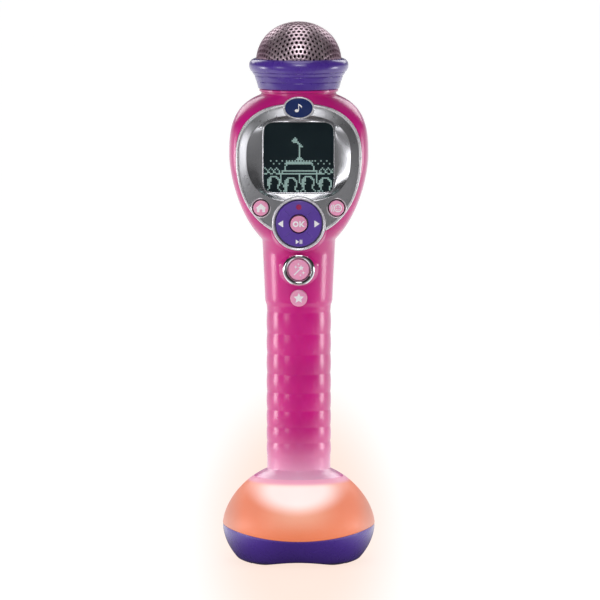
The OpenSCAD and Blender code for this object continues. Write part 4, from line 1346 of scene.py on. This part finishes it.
def cover():
    flat = [(r, 0.6) for r in np.linspace(0.0, 26.5, 24)]
    low_heights = (0.62, 0.8, 1.1, 1.5, 2.0, 2.6, 3.3, 4.0, 4.7, 5.4, 6.2, 7.0, 8.0, 9.5, 11.0)
    flat += [(base_cover_r(z), z) for z in low_heights]
    floor_inside = [(r, 5.0) for r in np.linspace(33.0, 0.0, 12)]
    columns = []
    for c, s, a in directions(192):
        high = seam_at(a) - 0.08
        column = []
        for r, z in flat + [(base_r(z), z) for z in np.linspace(12.2, high, 9)]:
            lift = arch_height(r * c)
            column.append((r * c, r * s, soft_max(z, lift, 0.7) if lift > z - 3 else z))
        column[-1] = ((base_r(high) - 0.2) * c, (base_r(high) - 0.2) * s, high)
        for r, z in [(base_r(z) - 2.2, z) for z in np.linspace(high, 6.2, 12)] + floor_inside:
            column.append((r * c, r * s, max(z, arch_height(r * c) + 2.2)))
        columns.append(column)
    piece = skin("purple_cover", columns, "purple_shell")
    holes = [(x, y, 3.0, 4.0) for y in (-16, 16) for x in (-24, 24)]
    holes += [(x, y, 3.3, 1.6) for x in (-23.2, 23.2) for y in (-8.5, 8.5)]
    cutters = []
    for x, y, r, top in holes:
        cutters.append(prism(disc(x * MM, y * MM, r * MM, 60), -0.001, top * MM, upright=True))
    cut_all(piece, cutters, 50)
    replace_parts(piece, "base_cover")


# ---------------------------------------------------------------- make them

casing_front()
casing_rear()
collar()
grille()
bezel()
badge()
screen()
direction_pad()
button_rings()
buttons()
dome()
cover()

for name in ("power_slider", "power_switch", "door_screw", "casing_screws", "rubber_feet", "base_screws"):
    edge = NODES[name].modifiers.new("edge", "BEVEL")
    edge.width = 0.00015
    edge.segments = 2
    edge.limit_method = "ANGLE"
    edge.angle_limit = math.radians(50)

# ---------------------------------------------------------------- camera, lights and floor


def look_at(thing, place, target):
    thing.location = place
    thing.rotation_euler = (Vector(target) - Vector(place)).to_track_quat("-Z", "Y").to_euler()


def camera():
    data = bpy.data.cameras.new("camera")
    data.lens = 421
    data.sensor_width = 36
    data.clip_end = 50
    eye = bpy.data.objects.new("camera", data)
    bpy.context.scene.collection.objects.link(eye)
    look_at(eye, (0.0007, -3.984, 0.511), (0.0007, 0.0, 0.150))
    bpy.context.scene.camera = eye


def softbox(name, place, target, width, height, power, mirrored=True):
    """An area light. One that isn't mirrored leaves no highlight on glossy surfaces."""
    data = bpy.data.lights.new(name, "AREA")
    data.shape = "RECTANGLE"
    data.size, data.size_y = width, height
    data.energy = power
    lamp = bpy.data.objects.new(name, data)
    lamp.visible_glossy = mirrored
    bpy.context.scene.collection.objects.link(lamp)
    look_at(lamp, place, target)


def floor():
    """A white floor with a painted warm glow where the base stands. It lights only from the sides and from
    near in front.
    """
    n = Nodes("floor_white_painted_glow")
    x = n.math("DIVIDE", n.axis("X"), 0.066)
    y = n.math("DIVIDE", n.math("SUBTRACT", n.axis("Y"), 0.2), 0.86)
    # painted pool of light: a warm glow from the base, painted into the floor's emission colour
    painted_warm_glow = n.ramp(n.length(x, y), 1.15, 0.4)
    seen = n.tree.nodes.new("ShaderNodeLightPath").outputs["Is Camera Ray"]
    sides = n.times(n.ramp(n.across(), 0.034, 0.10, 0.03, 1), n.ramp(n.axis("Y"), -0.30, -0.04, 0.15, 1))
    near = n.times(n.ramp(n.axis("Y"), -0.30, -0.20), n.ramp(n.axis("Y"), -0.06, -0.11, 0, 0.4))
    shine = n.math("MAXIMUM", seen, n.math("MAXIMUM", sides, near))
    n.set(Base_Color=(0.1, 0.1, 0.1), Roughness=0.9, Specular_IOR_Level=0.0)
    n.set(Emission_Color=n.mix(painted_warm_glow, (1, 1, 1), (0.95, 0.77, 0.68)), Emission_Strength=shine)
    bpy.ops.mesh.primitive_plane_add(size=60, location=(0, 0, 0))
    plane = bpy.context.object
    plane.name = "floor"
    plane.data.materials.append(n.material)


def surroundings():
    """White behind the object; dim studio round it for everything but the background."""
    world = bpy.data.worlds.new("studio")
    world.use_nodes = True
    bpy.context.scene.world = world
    tree = world.node_tree
    tree.nodes.clear()
    out = tree.nodes.new("ShaderNodeOutputWorld")
    mix = tree.nodes.new("ShaderNodeMixShader")
    path = tree.nodes.new("ShaderNodeLightPath")
    room = tree.nodes.new("ShaderNodeBackground")
    direction = tree.nodes.new("ShaderNodeSeparateXYZ")
    tree.links.new(tree.nodes.new("ShaderNodeTexCoord").outputs["Generated"], direction.inputs["Vector"])
    level = None
    # bright behind the object, less so straight behind it, and dark from above
    falls = (("Y", (-0.06, 0.12, 0.0, 1.0)), ("Y", (0.3, 0.95, 1.0, 0.6)), ("Z", (0.22, 0.03, 0.0, 1.0)))
    for letter, spans in falls:
        part = tree.nodes.new("ShaderNodeMapRange")
        part.interpolation_type = "SMOOTHSTEP"
        for key, value in zip(("From Min", "From Max", "To Min", "To Max"), spans):
            part.inputs[key].default_value = value
        tree.links.new(direction.outputs[letter], part.inputs["Value"])
        product = tree.nodes.new("ShaderNodeMath")
        product.operation = "MULTIPLY"
        product.inputs[1].default_value = 1.0
        tree.links.new(part.outputs["Result"], product.inputs[0])
        if level:
            tree.links.new(level, product.inputs[1])
        level = product.outputs["Value"]
    dim = tree.nodes.new("ShaderNodeMath")
    dim.operation = "ADD"
    dim.inputs[1].default_value = 0.04
    tree.links.new(level, dim.inputs[0])
    tree.links.new(dim.outputs["Value"], room.inputs["Strength"])
    white = tree.nodes.new("ShaderNodeBackground")
    white.inputs["Color"].default_value = (1, 1, 1, 1)
    white.inputs["Strength"].default_value = 1.0
    tree.links.new(path.outputs["Is Camera Ray"], mix.inputs["Fac"])
    tree.links.new(room.outputs["Background"], mix.inputs[1])
    tree.links.new(white.outputs["Background"], mix.inputs[2])
    tree.links.new(mix.outputs["Shader"], out.inputs["Surface"])


camera()
softbox("left_box", (-0.95, 0.02, 0.12), (0, 0, 0.12), 0.28, 0.24, 1.5)
softbox("right_box", (0.95, 0.02, 0.12), (0, 0, 0.12), 0.28, 0.24, 1.5)
softbox("left_strip", (-0.70, -0.71, 0.28), (0, 0, 0.25), 0.30, 0.34, 0.9)
softbox("left_shoulder", (-0.58, 1.02, 0.82), (0, 0, 0.26), 0.60, 0.60, 2.4)
softbox("right_shoulder", (0.58, 1.02, 0.82), (0, 0, 0.26), 0.60, 0.60, 2.4)
softbox("left_low", (-0.28, -0.12, 0.05), (0, 0, 0.02), 0.15, 0.08, 0.25, mirrored=False)
softbox("right_low", (0.28, -0.12, 0.05), (0, 0, 0.02), 0.15, 0.08, 0.25, mirrored=False)
softbox("front_top", (0.0, -0.85, 0.95), (0, 0, 0.22), 0.36, 0.50, 3.0)
softbox("front_fill", (0.0, -2.4, 0.75), (0, 0, 0.2), 1.2, 0.8, 15, mirrored=False)
softbox("overhead", (0.0, 0.1, 1.25), (0, 0.0, 0.2), 0.40, 1.3, 3.0)
floor()
surroundings()
bpy.context.scene.view_settings.view_transform = "Standard"
